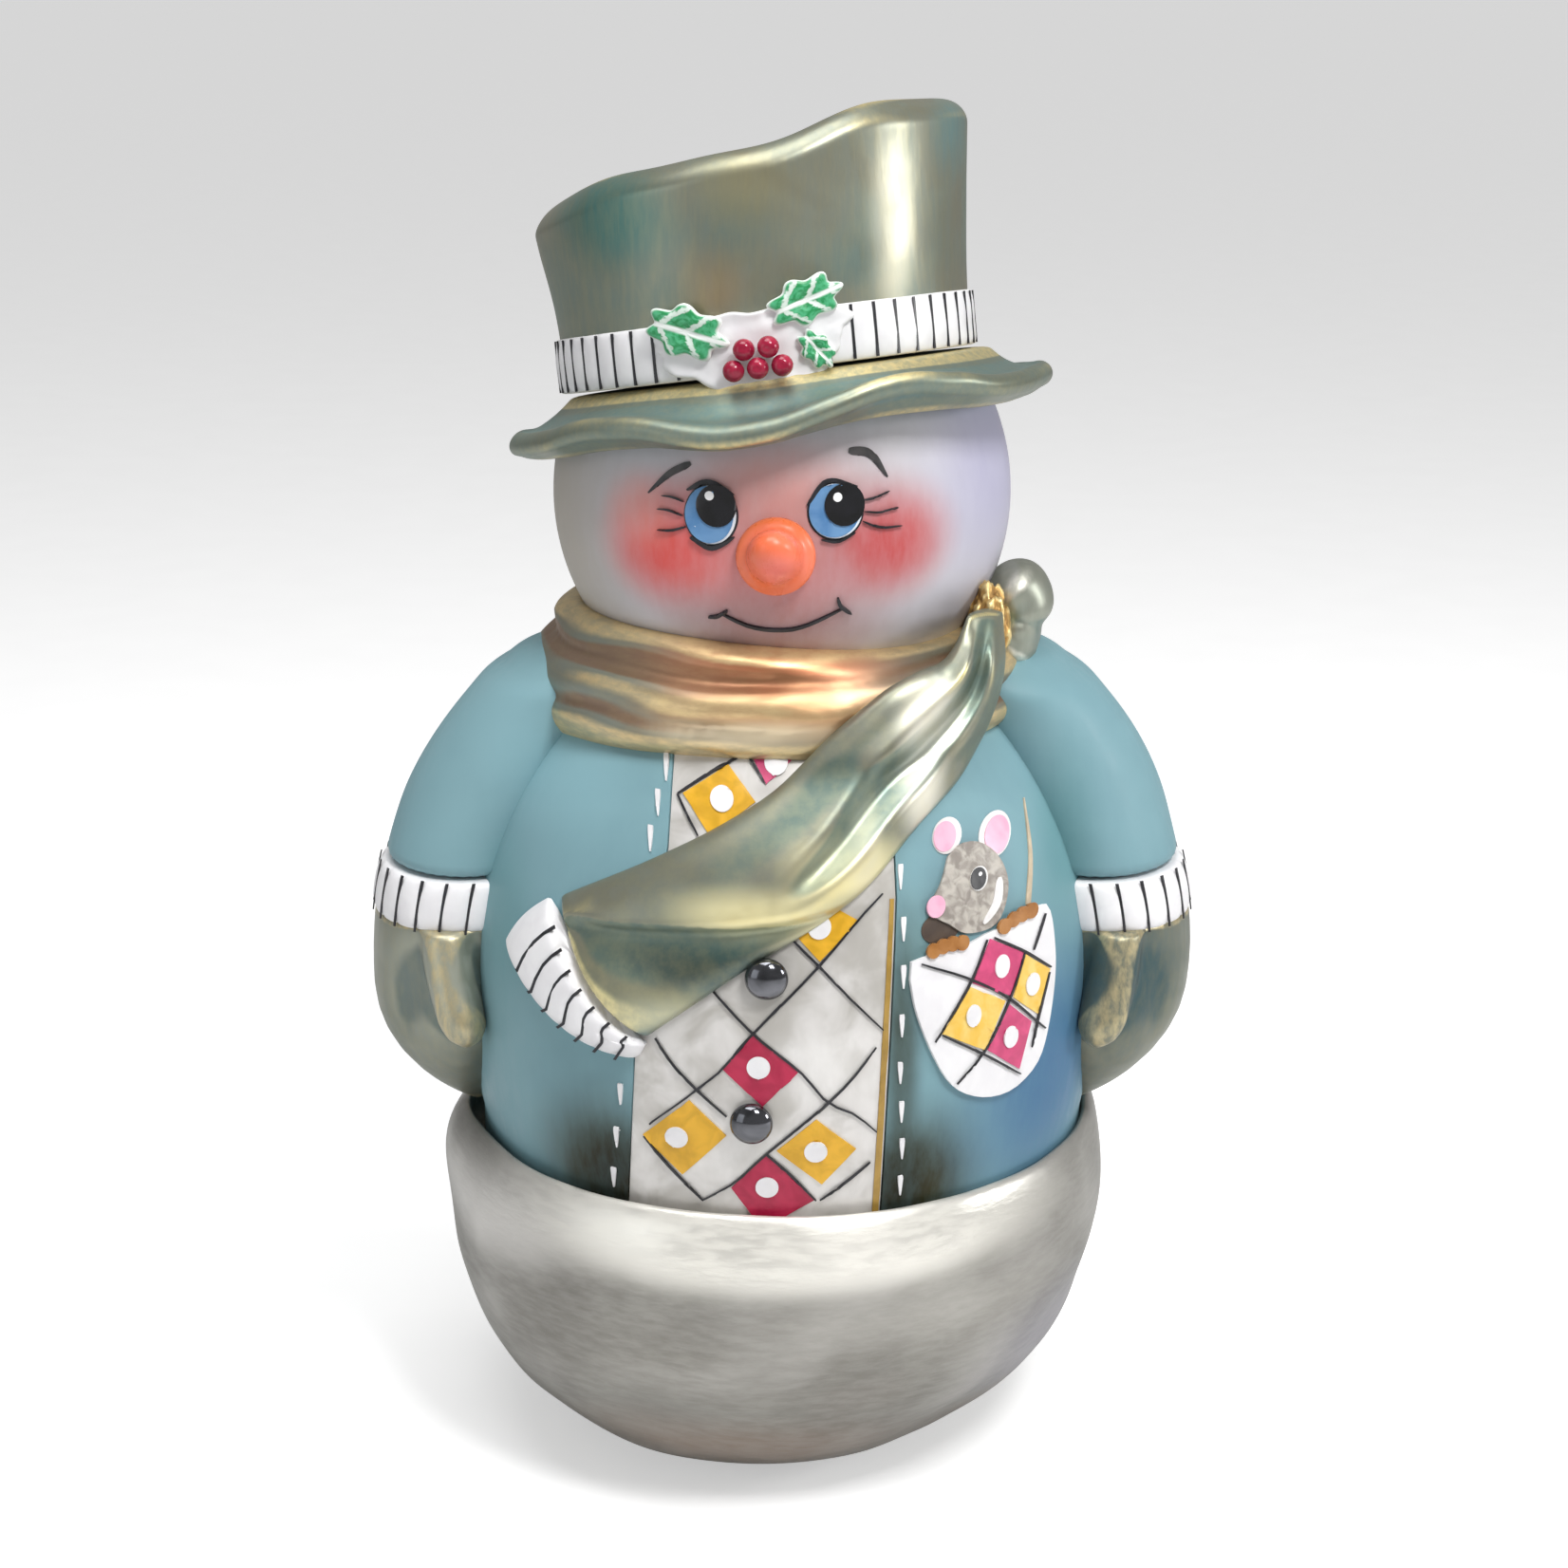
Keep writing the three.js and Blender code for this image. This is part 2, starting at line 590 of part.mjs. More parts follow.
function knot(grow = 0) {
  const ball = new THREE.SphereGeometry(1, 18, 12);
  const shape = bend(ball, (v) => {
    const pinch = 1 - 0.16 * Math.exp(-(((v.z + 0.1 + 0.3 * v.y) / 0.22) ** 2));
    v.x *= KNOT_HALF_WIDTH * pinch + grow;
    v.y *= KNOT_HALF_DEPTH * pinch + grow;
    v.z *= KNOT_HALF_HEIGHT + grow;
  });
  return solid(shape.rotateY(0.15).translate(...knotMiddle().toArray()));
}

// The form that the scarf's tail hangs over: the wrap at the top, the coat below.
function drape(x, z, out) {
  const wrap = WRAP_RADIUS + 0.85 * WRAP_ROLL;
  const r = Math.max(coatRadius(z), wrap * ramp(z, COAT_TOP - 24, COAT_TOP - 6)) + out;
  return new THREE.Vector3(x, -Math.sqrt(Math.max(r * r - x * x, 60)), z);
}

// The tail's middle line in front view. It leaves the knot, and then crosses the coat at shares
// of the coat's radius and height.
function tailPath() {
  const start = knotMiddle();
  const loop = [[-1, 0.47], [-1.62, -0.915]].map(
    ([x, z]) => new THREE.Vector3(start.x + x * KNOT_HALF_WIDTH, start.z + z * KNOT_HALF_HEIGHT, 0),
  );
  const stops = [[0.36, 0.86], [0.16, 0.757], [-0.24, 0.622], [-0.545, 0.475]];
  const across = stops.map(
    ([x, t]) => new THREE.Vector3(x * COAT_RADIUS, BALL_HEIGHT + t * COAT_HEIGHT, 0),
  );
  const points = [...loop, ...across];
  const hang = new THREE.Vector3(-0.58, -0.82, 0).multiplyScalar(FRINGE_LENGTH);
  return new THREE.CatmullRomCurve3([...points, points.at(-1).clone().add(hang)]);
}

function tailPiece(from, to, count, thick, grow = 0) {
  const path = tailPath();
  const rings = steps(from, to, count).map((u) => {
    const at = path.getPointAt(u);
    const ahead = path.getTangentAt(u);
    const half = TAIL_HALF_WIDTH * (0.4 + 0.42 * ramp(u, 0, 0.4) + 0.32 * ramp(u, 0.5, 1)) + grow;
    return angles(16).map((a) => {
      const side = half * Math.cos(a);
      const fold = 1 + 0.22 * Math.cos(2.6 * Math.cos(a) + 2.4 * u);
      const out = Math.sin(a) > 0 ? (thick + grow) * Math.sin(a) ** 0.8 * fold : 5 * Math.sin(a);
      return drape(at.x - ahead.y * side, at.y + ahead.x * side, out);
    });
  });
  return solid(loft(rings));
}

function fringeStart() {
  return 1 - FRINGE_LENGTH / tailPath().getLength();
}

// The whole figure

function paint(colour, roughness, metalness = 0) {
  return new THREE.MeshStandardMaterial({ color: colour, roughness, metalness });
}

const PAINTS = {
  felt: () => paint("#3d3a38", 0.95),
  snow: () => paint("#c9c4bd", 0.35, 0.5),
  wood: () => paint("#c9a878", 0.7),
  coat: () => paint("#75a1b0", 0.45, 0.1),
  silver: () => paint("#d6d4d2", 0.35, 0.5),
  button: () => paint("#55565a", 0.2, 0.9),
  white: () => paint("#ececee", 0.55),
  pewter: () => paint("#86877a", 0.35, 0.6),
  gold: () => paint("#cfa878", 0.35, 0.6),
  skin: () => paint("#cfc8cb", 0.5),
  nose: () => paint("#ee7850", 0.45),
  holly: () => paint("#2c8c5a", 0.5),
  berry: () => paint("#8e1430", 0.3),
};

const figure = new THREE.Group();

function place(name, piece, colour) {
  const made = piece.getMesh();
  const geometry = new THREE.BufferGeometry();
  geometry.setAttribute("position", new THREE.BufferAttribute(made.vertProperties, 3));
  geometry.setIndex(new THREE.BufferAttribute(made.triVerts, 1));
  geometry.computeVertexNormals();
  const mesh = new THREE.Mesh(geometry, PAINTS[colour]());
  mesh.name = name;
  figure.add(mesh);
}

function buildSnowball() {
  place("felt_pad", pad(), "felt");
  const dowel = upright(BIG_DOWEL, COAT_BASE, DOWEL_REACH);
  const hole = upright(BIG_DOWEL, COAT_BASE, DOWEL_REACH, GAP);
  place("snowball_base", cut(ballForm(), seatTool(), pad(GAP), hole), "snow");
  place("waist_dowel", dowel, "wood");
}

function buttons(grow = 0) {
  return buttonSpots().map((spot) => aimed(knob(BUTTON_RADIUS, BUTTON_RISE, grow), spot));
}

function buildCoat() {
  const [upper, lower] = buttons();
  const studs = buttons(GAP);
  const holes = [
    upright(BIG_DOWEL, COAT_BASE, DOWEL_REACH, GAP),
    upright(BIG_DOWEL, COAT_TOP, DOWEL_REACH, GAP),
    armDowel(-1, GAP),
    armDowel(1, GAP),
  ];
  const pockets = [
    inlayPocket(panelOutline(GAP), PANEL_DEPTH),
    inlayPocket(pocketOutline(GAP), POCKET_DEPTH),
  ];
  place("coat_body", cut(coatForm(), ...pockets, ...studs, ...holes), "coat");
  place("shirt_panel", cut(inlay(panelOutline(), -PANEL_RECESS, PANEL_DEPTH), ...studs), "silver");
  place("button_upper", upper, "button");
  place("button_lower", lower, "button");
  place("pocket_patch", inlay(pocketOutline(), POCKET_PROUD, POCKET_DEPTH), "white");
  place("neck_dowel", upright(BIG_DOWEL, COAT_TOP, DOWEL_REACH), "wood");
}

function buildArms() {
  const coat = coatForm(GAP);
  const scarf = wrapForm(GAP);
  for (const [side, name] of [[-1, "left"], [1, "right"]]) {
    const beside = [coat, scarf, armDowel(side, GAP), headForm(GAP), knot(GAP)];
    place(name + "_sleeve", cut(sleeve(side), ...beside), "coat");
    place(name + "_arm_dowel", armDowel(side), "wood");
    place(name + "_cuff", cut(cuff(side), coat), "white");
    place(name + "_mitten", cut(mitten(side), coat), "pewter");
  }
}

function buildScarf() {
  const [coat, head] = [coatForm(GAP), headForm(GAP)];
  const end = fringeStart();
  const hang = (2 * GAP) / tailPath().getLength();
  place("scarf_wrap", cut(wrapForm(), coat, head), "gold");
  place("scarf_knot", cut(knot(), coat, head, wrapForm(GAP)), "pewter");
  const tail = tailPiece(0, end, 20, TAIL_THICKNESS);
  const over = [coat, head, wrapForm(GAP), knot(GAP), ...buttons(GAP)];
  place("scarf_tail", cut(tail, ...over), "pewter");
  const fringe = tailPiece(end + hang, 1, 5, 0.8 * TAIL_THICKNESS, 0.5);
  place("scarf_fringe", cut(fringe, coat), "white");
}

function buildHead() {
  const holes = [
    upright(BIG_DOWEL, COAT_TOP, DOWEL_REACH, GAP),
    upright(BIG_DOWEL, HAT_Z + 5, DOWEL_REACH + 5, GAP),
  ];
  place("head", cut(headForm(), overHead(), nose(GAP), ...holes), "skin");
  place("nose", nose(), "nose");
}

function buildHat() {
  const hole = upright(BIG_DOWEL, HAT_Z + 5, DOWEL_REACH + 5, GAP);
  place("hat_brim", cut(brim(), hole, headForm(GAP).subtract(overHead(GAP))), "pewter");
  place("hat_dowel", upright(BIG_DOWEL, HAT_Z + 5, DOWEL_REACH + 5), "wood");
  place("hat_crown", cut(crown(), hole), "pewter");
  place("hat_band", cut(band(), plaque(GAP)), "white");
  place("sprig_plaque", cut(plaque(), brim(GAP)), "white");
  place("holly_leaf_left", leaf([-0.81, 0.24], 1, -0.42), "holly");
  place("holly_leaf_right", leaf([0.78, 0.49], 0.83, 0.3), "holly");
  place("holly_leaf_lower", cut(leaf([0.9, -0.21], 0.61, -0.95), brim(GAP)), "holly");
  const spots = [[-0.5, 0], [0.5, 0], [-1, -0.9], [0, -0.9], [1, -0.9]];
  spots.forEach(([s, h], i) => place("berry_" + (i + 1), berry(s, h), "berry"));
}

buildSnowball();
buildCoat();
buildArms();
buildScarf();
buildHead();
buildHat();

export default figure;
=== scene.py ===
"""A wooden snowman in painted clothes: turned and carved pieces in hand-rubbed lustre colours.

Metres, +Z up. The figure faces -Y, and left is -X, as seen from the front.
"""

import math

import bmesh
import bpy
import numpy as np
from mathutils import Matrix, Vector, noise
from mathutils.bvhtree import BVHTree


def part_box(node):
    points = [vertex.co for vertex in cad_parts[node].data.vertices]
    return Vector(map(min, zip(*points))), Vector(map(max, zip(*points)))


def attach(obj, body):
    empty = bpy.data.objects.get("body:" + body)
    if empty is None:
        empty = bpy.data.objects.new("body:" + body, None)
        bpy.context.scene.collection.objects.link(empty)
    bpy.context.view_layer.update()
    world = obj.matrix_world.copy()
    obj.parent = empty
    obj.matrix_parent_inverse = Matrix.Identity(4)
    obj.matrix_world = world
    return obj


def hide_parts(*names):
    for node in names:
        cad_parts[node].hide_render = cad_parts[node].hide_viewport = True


bl_info = {
    "name": "Wooden Snowman",
    "version": (1, 0, 0),
    "blender": (4, 5, 0),
    "location": "View3D > Sidebar > Snowman",
    "description": "Builds a turned and carved snowman with a hat, a scarf and painted details",
    "category": "Add Mesh",
}

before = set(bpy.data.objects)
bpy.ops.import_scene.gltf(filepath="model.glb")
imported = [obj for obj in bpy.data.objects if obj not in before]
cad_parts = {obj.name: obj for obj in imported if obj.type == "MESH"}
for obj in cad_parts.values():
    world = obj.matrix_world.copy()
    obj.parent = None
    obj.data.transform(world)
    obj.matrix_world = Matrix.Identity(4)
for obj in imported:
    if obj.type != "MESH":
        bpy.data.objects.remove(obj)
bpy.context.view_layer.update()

MM = 0.001

# Heights and radii that the frame gives
BALL_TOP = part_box("snowball_base")[1].z
COAT_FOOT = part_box("coat_body")[0].z
COAT_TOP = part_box("coat_body")[1].z
COAT_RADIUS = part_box("coat_body")[1].y
COAT_HEIGHT = COAT_TOP - BALL_TOP
HEAD_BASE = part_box("head")[0].z
CUFF_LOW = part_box("left_cuff")[0].z
CUFF_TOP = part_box("left_cuff")[1].z

# Shapes of the large pieces
GAP = 0.3 * MM  # the glue line between two pieces
PANEL_DEPTH = 3.3 * MM  # how deep the opening for the shirt front is
WAIST_TUCK = 0.045
SHOULDER_TUCK = 0.4
HEAD_RADIUS = 41.5 * MM
HEAD_Z = HEAD_BASE + 0.73 * HEAD_RADIUS
ARM_STANDOUT = 17 * MM
ARM_DEPTH = 20 * MM
ARM_FORWARD = 5 * MM
WRAP_RADIUS = (COAT_RADIUS * (1 - SHOULDER_TUCK) + HEAD_RADIUS) / 2 - 0.2 * MM
WRAP_ROLL = 7.6 * MM
HAT_X = -0.35 * MM
HAT_Z = HEAD_Z + 0.3 * HEAD_RADIUS
HAT_TILT = 0.123
HAT_BACK = 0.13
BRIM_HEIGHT = 9.1 * MM
CROWN_RADIUS = 36 * MM
CROWN_BASE = BRIM_HEIGHT + GAP
CROWN_HEIGHT = 38 * MM
CROWN_X = -2.1 * MM
BAND_HEIGHT = 9.8 * MM
SPRIG = (-2.4 * MM, CROWN_BASE + 5.2 * MM)
KNOT_HALF = Vector((6.6 * MM, 9.5 * MM, 9.3 * MM))
TAIL_HALF = 11 * MM

# Ribs of the knitted pieces
CUFF_RIBS = 22
BAND_RIBS = 54
FRINGE_RIBS = 8

# How fine the work is
FINE_GRAIN = 0.06 * MM  # height of the brush grain in the paint
COARSE_GRAIN = 0.1 * MM
SMOOTH_ANGLE = 35  # degrees between two faces that are shaded as one
PAINT_BITE = 0.04 * MM  # how far paint sinks into what it lies on
PAINT_CELL = 1.6 * MM
TAIL_STEPS = 400


def linear(code):
    """A colour code such as "#d8a070" as the linear values that a shader takes."""
    parts = [int(code[i : i + 2], 16) / 255 for i in (1, 3, 5)]
    return [p / 12.92 if p <= 0.04045 else ((p + 0.055) / 1.055) ** 2.4 for p in parts]


def values(colour):
    """A colour's three linear values, whether it is given as those or as a code."""
    return linear(colour) if isinstance(colour, str) else colour


def size_value(name, text, millimetres):
    return bpy.props.FloatProperty(
        name=name, description=text, default=millimetres * MM, min=0.0, unit="LENGTH", precision=4
    )


def colour_value(name, text, code):
    return bpy.props.FloatVectorProperty(
        name=name, description=text, subtype="COLOR", size=3, min=0.0, max=1.0, default=linear(code)
    )


class SnowmanSizes(bpy.types.PropertyGroup):
    """Sizes of the figure's smaller pieces and painted details."""

    button_radius: size_value("Button radius", "Radius of the two shirt buttons", 3.8)
    button_rise: size_value("Button rise", "How far a button stands off the shirt", 3.2)
    nose_radius: size_value("Nose radius", "Radius of the nose's collar", 6.8)
    nose_rise: size_value("Nose rise", "How far the nose stands off the face", 9.0)
    brim_width: size_value("Brim width", "How far the brim stands outside the crown", 13.0)
    brim_wave: size_value("Brim wave", "Rise and fall of the brim's edge", 2.8)
    berry_radius: size_value("Berry radius", "Radius of a holly berry", 1.85)
    leaf_length: size_value("Leaf length", "Length of the longest holly leaf", 11.5)
    line_width: size_value("Line width", "Width of a painted black line", 0.45)
    stitch_length: size_value("Stitch length", "Length of a painted stitch", 4.0)
    paint_depth: size_value("Paint depth", "Thickness of a painted detail", 0.22)


class SnowmanColours(bpy.types.PropertyGroup):
    """Colours that the figure is painted in."""

    coat: colour_value("Coat", "Satin blue-green of the coat", "#779ba4")
    coat_shade: colour_value("Coat shade", "Airbrushed olive beside the coat's opening", "#35331a")
    pewter: colour_value("Pewter", "Body colour of the hat, mittens and scarf", "#8c8d7e")
    teal: colour_value("Teal", "Undercoat that shows in the hollows", "#4f7f80")
    gold: colour_value("Gold", "Gold that is rubbed over the ridges", "#e8d59a")
    copper: colour_value("Copper", "Copper of the scarf's wrap", "#c98058")
    snow: colour_value("Snow", "Pearl silver of the snowball", "#8e8c85")
    skin: colour_value("Face", "Cool white of the head", "#bbb8bc")
    blush: colour_value("Blush", "Airbrushed coral on the cheeks", "#dd5049")
    nose: colour_value("Nose", "Coral orange of the nose", "#f4744c")
    enamel: colour_value("Enamel", "White of the cuffs, band and pocket", "#f0eff0")
    shirt: colour_value("Shirt", "Brushed silver of the shirt front", "#e2dfdc")
    crimson: colour_value("Crimson", "Crimson diamonds", "#a50d3c")
    pink: colour_value("Pink", "Pink diamonds", "#bf3e6c")
    ochre: colour_value("Ochre", "Ochre diamonds", "#cf9c1c")
    ink: colour_value("Line black", "Painted lines, lashes and brows", "#16161a")
    iris: colour_value("Iris", "Blue of the eyes", "#4a7fb4")
    holly: colour_value("Holly", "Green of the leaves", "#1f8a4c")
    berry: colour_value("Berry", "Dark red of the berries", "#8c1432")


def sizes():
    return bpy.context.scene.snowman_sizes


def colours():
    return bpy.context.scene.snowman_colours


# Numbers


def ramp(value, low, high):
    """0 at low, 1 at high, with a soft start and end."""
    t = min(max((value - low) / (high - low), 0.0), 1.0)
    return t * t * (3 - 2 * t)


def steps(low, high, count):
    return [low + (high - low) * i / count for i in range(count + 1)]


def angles(count):
    return steps(0, 2 * math.pi, count)[:-1]


def bump(value, middle, reach):
    """1 in the middle, falling smoothly to 0 a reach or two away."""
    return math.exp(-(((value - middle) / reach) ** 2))


def smooth_line(stops, count):
    """Points at equal spacing along a smooth line through the stops."""
    stops = [Vector(s) for s in stops]
    stops = [2 * stops[0] - stops[1], *stops, 2 * stops[-1] - stops[-2]]
    fine = []
    for a, b, c, d in zip(stops, stops[1:], stops[2:], stops[3:]):
        for t in steps(0, 1, 24)[:-1]:
            fine.append(
                b + (c - a) * (t / 2) + (2 * a - 5 * b + 4 * c - d) * (t * t / 2)
                + (3 * b - a - 3 * c + d) * (t**3 / 2)
            )
    fine.append(stops[-2])
    run = [0.0]
    for a, b in zip(fine, fine[1:]):
        run.append(run[-1] + (b - a).length)
    line = []
    for wanted in steps(0, run[-1], count):
        i = min(max(sum(r < wanted for r in run), 1), len(run) - 1)
        share = (wanted - run[i - 1]) / max(run[i] - run[i - 1], 1e-12)
        line.append(fine[i - 1].lerp(fine[i], share))
    return line


# Working on a piece


def only(piece):
    """Selects one piece and nothing else, in object mode."""
    if bpy.context.mode != "OBJECT":
        bpy.ops.object.mode_set(mode="OBJECT")
    bpy.ops.object.select_all(action="DESELECT")
    piece.select_set(True)
    bpy.context.view_layer.objects.active = piece
    return piece


def nothing_selected():
    if bpy.context.mode != "OBJECT":
        bpy.ops.object.mode_set(mode="OBJECT")
    bpy.ops.object.select_all(action="DESELECT")


def fresh(name):
    """The primitive that was just added, named, with its place moved into its mesh."""
    piece = bpy.context.object
    piece.name = name
    piece.data.name = name
    bpy.ops.object.transform_apply(location=True, rotation=True, scale=True)
    return piece


def modified(piece, kind, **settings):
    """Adds a modifier, sets it and applies it."""
    only(piece)
    bpy.ops.object.modifier_add(type=kind)
    modifier = piece.modifiers[-1]
    for key, value in settings.items():
        setattr(modifier, key, value)
    bpy.ops.object.modifier_apply(modifier=modifier.name)
    return piece


def rounded(piece, levels=2):
    """Subdivides a piece into a smooth skin."""
    modified(piece, "SUBSURF", levels=levels, render_levels=levels)
    bpy.ops.object.shade_smooth()
    return piece


def creased(piece, degrees=SMOOTH_ANGLE):
    """Shades a piece smooth, and keeps the edges that are sharper than an angle."""
    only(piece)
    bpy.ops.object.shade_smooth_by_angle(angle=math.radians(degrees))
    return piece


def moulded(piece, move):
    """Moves every vertex with the given function."""
    for vertex in piece.data.vertices:
        vertex.co = move(vertex.co.copy())
    piece.data.update()
    return piece


def drawn_up(name, rings, sides=48):
    """Starts with a disc and extrudes it through rings of (middle, half width, half depth)."""
    nothing_selected()
    bpy.ops.mesh.primitive_circle_add(vertices=sides, radius=1.0, fill_type="NGON")
    piece = fresh(name)
    bpy.ops.object.mode_set(mode="EDIT")
    bpy.ops.mesh.select_all(action="SELECT")
    last = Vector((0, 0, 0))
    across, deep = 1.0, 1.0
    for number, (middle, wide, thick) in enumerate(rings):
        middle = Vector(middle)
        if number:
            bpy.ops.mesh.extrude_region_move(TRANSFORM_OT_translate={"value": middle - last})
        else:
            bpy.ops.transform.translate(value=middle)
        bpy.ops.transform.resize(value=(wide / across, thick / deep, 1), center_override=middle)
        last, across, deep = middle, wide, thick
    bpy.ops.mesh.select_all(action="SELECT")
    bpy.ops.mesh.normals_make_consistent(inside=False)
    bpy.ops.object.mode_set(mode="OBJECT")
    return piece


def turned(name, profile, sides=48):
    """A turned piece: a profile of (radius, height) pairs about Z, closed with flat ends."""
    return drawn_up(name, [((0, 0, z), r, r) for r, z in profile], sides)


def skin(name, rings):
    """A closed skin over rings of equal count."""
    shape = bmesh.new()
    rows = [[shape.verts.new(p) for p in ring] for ring in rings]
    for low, high in zip(rows, rows[1:]):
        for j in range(len(low)):
            k = (j + 1) % len(low)
            shape.faces.new((low[j], low[k], high[k], high[j]))
    shape.faces.new(rows[0][::-1])
    shape.faces.new(rows[-1])
    bmesh.ops.recalc_face_normals(shape, faces=shape.faces[:])
    return from_shape(name, shape)


def from_shape(name, shape):
    mesh = bpy.data.meshes.new(name)
    shape.to_mesh(mesh)
    shape.free()
    piece = bpy.data.objects.new(name, mesh)
    bpy.context.scene.collection.objects.link(piece)
    return piece


def joined(name, pieces):
    """Several pieces as one object."""
    only(pieces[0])
    for piece in pieces[1:]:
        piece.select_set(True)
    if len(pieces) > 1:
        bpy.ops.object.join()
    pieces[0].name = name
    pieces[0].data.name = name
    return pieces[0]


def carved(piece, voxel, passes):
    """Fuses overlapping forms into one skin and softens the valleys between them."""
    modified(piece, "REMESH", mode="VOXEL", voxel_size=voxel, use_smooth_shade=True)
    modified(piece, "SMOOTH", factor=0.5, iterations=passes)
    return piece


def marked(piece, passes, full):
    """Writes how far each vertex stands above (+1) or below (-1) the smoothed-out form."""
    mesh = piece.data
    count = len(mesh.vertices)
    place = np.empty(count * 3)
    mesh.vertices.foreach_get("co", place)
    place = place.reshape(-1, 3)
    normal = np.empty(count * 3)
    mesh.vertices.foreach_get("normal", normal)
    normal = normal.reshape(-1, 3)
    ends = np.empty(len(mesh.edges) * 2, int)
    mesh.edges.foreach_get("vertices", ends)
    a, b = ends.reshape(-1, 2).T
    degree = np.bincount(a, minlength=count) + np.bincount(b, minlength=count)
    calm = place.copy()
    for _ in range(passes):
        total = np.stack(
            [
                np.bincount(a, calm[b, i], count) + np.bincount(b, calm[a, i], count)
                for i in range(3)
            ],
            axis=1,
        )
        calm = total / np.maximum(degree, 1)[:, None]
    stands = np.einsum("ij,ij->i", place - calm, normal)
    stands = (stands - np.median(stands)) / full
    ridge = mesh.attributes.new("ridge", "FLOAT", "POINT")
    ridge.data.foreach_set("value", np.clip(stands, -1, 1).astype(np.float32))
    return piece


def aimed(piece, place, facing):
    """Turns a piece that stands on +Z to face another way, and puts it in place."""
    turn = Vector((0, 0, 1)).rotation_difference(Vector(facing)).to_matrix().to_4x4()
    piece.data.transform(Matrix.Translation(place) @ turn)
    return piece


def coated(piece, finish):
    piece.data.materials.clear()
    piece.data.materials.append(finish)


def done(piece, finish, slot, *nodes):
    """Gives a finished piece its material, its body and the nodes that it stands for."""
    coated(piece, finish)
    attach(piece, "root")
    if nodes:
        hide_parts(*nodes)
    return piece


# Painted details


def disc(x, z, across, up=None, count=28):
    up = across if up is None else up
    return [(x + across * math.cos(a), z + up * math.sin(a)) for a in angles(count)]


def stroke(stops, width, taper=0.0, point=0.35, count=14):
    """The outline of a brush stroke: a soft start, a swelling and a fine end."""
    line = smooth_line(stops, count)
    near, far = [], []
    for i, spot in enumerate(line):
        ahead = line[min(i + 1, count)] - line[max(i - 1, 0)]
        aside = Vector((-ahead.y, ahead.x)).normalized()
        t = i / count
        half = width / 2 * (1 - taper * t) * (point + (1 - point) * math.sin(math.pi * t) ** 0.5)
        near.append(tuple(spot + aside * half))
        far.append(tuple(spot - aside * half))
    return near + far[::-1]


def rib_line(way, low, high, foot, head):
    """A black line between two ribs: half as wide as foot below and as head above, in radians."""
    return [(way - foot, low), (way + foot, low), (way + head, high), (way - head, high)]


def front_of(piece):
    """A way to lay a point of front view on a piece, some way out from it."""
    places = [v.co.copy() for v in piece.data.vertices]
    faces = [tuple(p.vertices) for p in piece.data.polygons]
    surface = BVHTree.FromPolygons(places, faces, epsilon=0.00001)

    def lay(x, z, out):
        spot, facing, _, _ = surface.ray_cast(Vector((x, -1, z)), Vector((0, 1, 0)))
        if spot is None:
            raise RuntimeError(f"a painted detail at {x:.4f}, {z:.4f} misses {piece.name}")
        return spot + facing * out

    return lay


def cut_up(shape, axis, count):
    """Cuts a flat shape into equal strips across one axis."""
    places = [v.co[axis] for v in shape.verts]
    across = Vector([float(i == axis) for i in range(3)])
    for place in steps(min(places), max(places), count)[1:-1]:
        everything = shape.verts[:] + shape.edges[:] + shape.faces[:]
        bmesh.ops.bisect_plane(shape, geom=everything, plane_co=across * place, plane_no=across)


def painted(name, outlines, lay, finish, slot, over=0.0, depth=None, cell=PAINT_CELL):
    """Flat outlines cut into small cells, laid on a surface and given the thickness of paint."""
    depth = sizes().paint_depth if depth is None else depth
    shape = bmesh.new()
    for outline in outlines:
        area = sum(a[0] * b[1] - b[0] * a[1] for a, b in zip(outline, outline[1:] + outline[:1]))
        way = outline if area > 0 else outline[::-1]
        shape.faces.new([shape.verts.new((x, 0, z)) for x, z in way])
    for axis in (0, 2):
        places = [v.co[axis] for v in shape.verts]
        cut_up(shape, axis, int((max(places) - min(places)) / cell) + 1)
    for vertex in shape.verts:
        vertex.co = lay(vertex.co.x, vertex.co.z, over - PAINT_BITE)
    piece = from_shape(name, shape)
    modified(piece, "SOLIDIFY", thickness=depth + PAINT_BITE, offset=1)
    return done(creased(piece), finish, slot)


# Shader trees


def node(tree, kind, inputs=(), **settings):
    """Adds a node, sets it, and fills its inputs with values or with other nodes' outputs."""
    made = tree.nodes.new(kind)
    for key, value in settings.items():
        setattr(made, key, value)
    for key, value in dict(inputs).items():
        if isinstance(value, bpy.types.NodeSocket):
            tree.links.new(value, made.inputs[key])
        else:
            made.inputs[key].default_value = value
    return made


def sums(tree, operation, a, b=0.0):
    return node(tree, "ShaderNodeMath", {0: a, 1: b}, operation=operation).outputs[0]


def product(tree, a, b):
    return sums(tree, "MULTIPLY", a, b)


def mixed(tree, share, a, b):
    """Mixes two colours, each a code, three values or another node's output."""
    a, b = [c if isinstance(c, bpy.types.NodeSocket) else (*values(c), 1.0) for c in (a, b)]
    return node(tree, "ShaderNodeMix", {0: share, 6: a, 7: b}, data_type="RGBA").outputs[2]


def fitted(tree, value, low, high, to_low=0.0, to_high=1.0):
    """Maps a value's range to another, with soft ends."""
    made = node(
        tree,
        "ShaderNodeMapRange",
        {"Value": value, "From Min": low, "From Max": high, "To Min": to_low, "To Max": to_high},
        interpolation_type="SMOOTHSTEP",
    )
    return made.outputs[0]


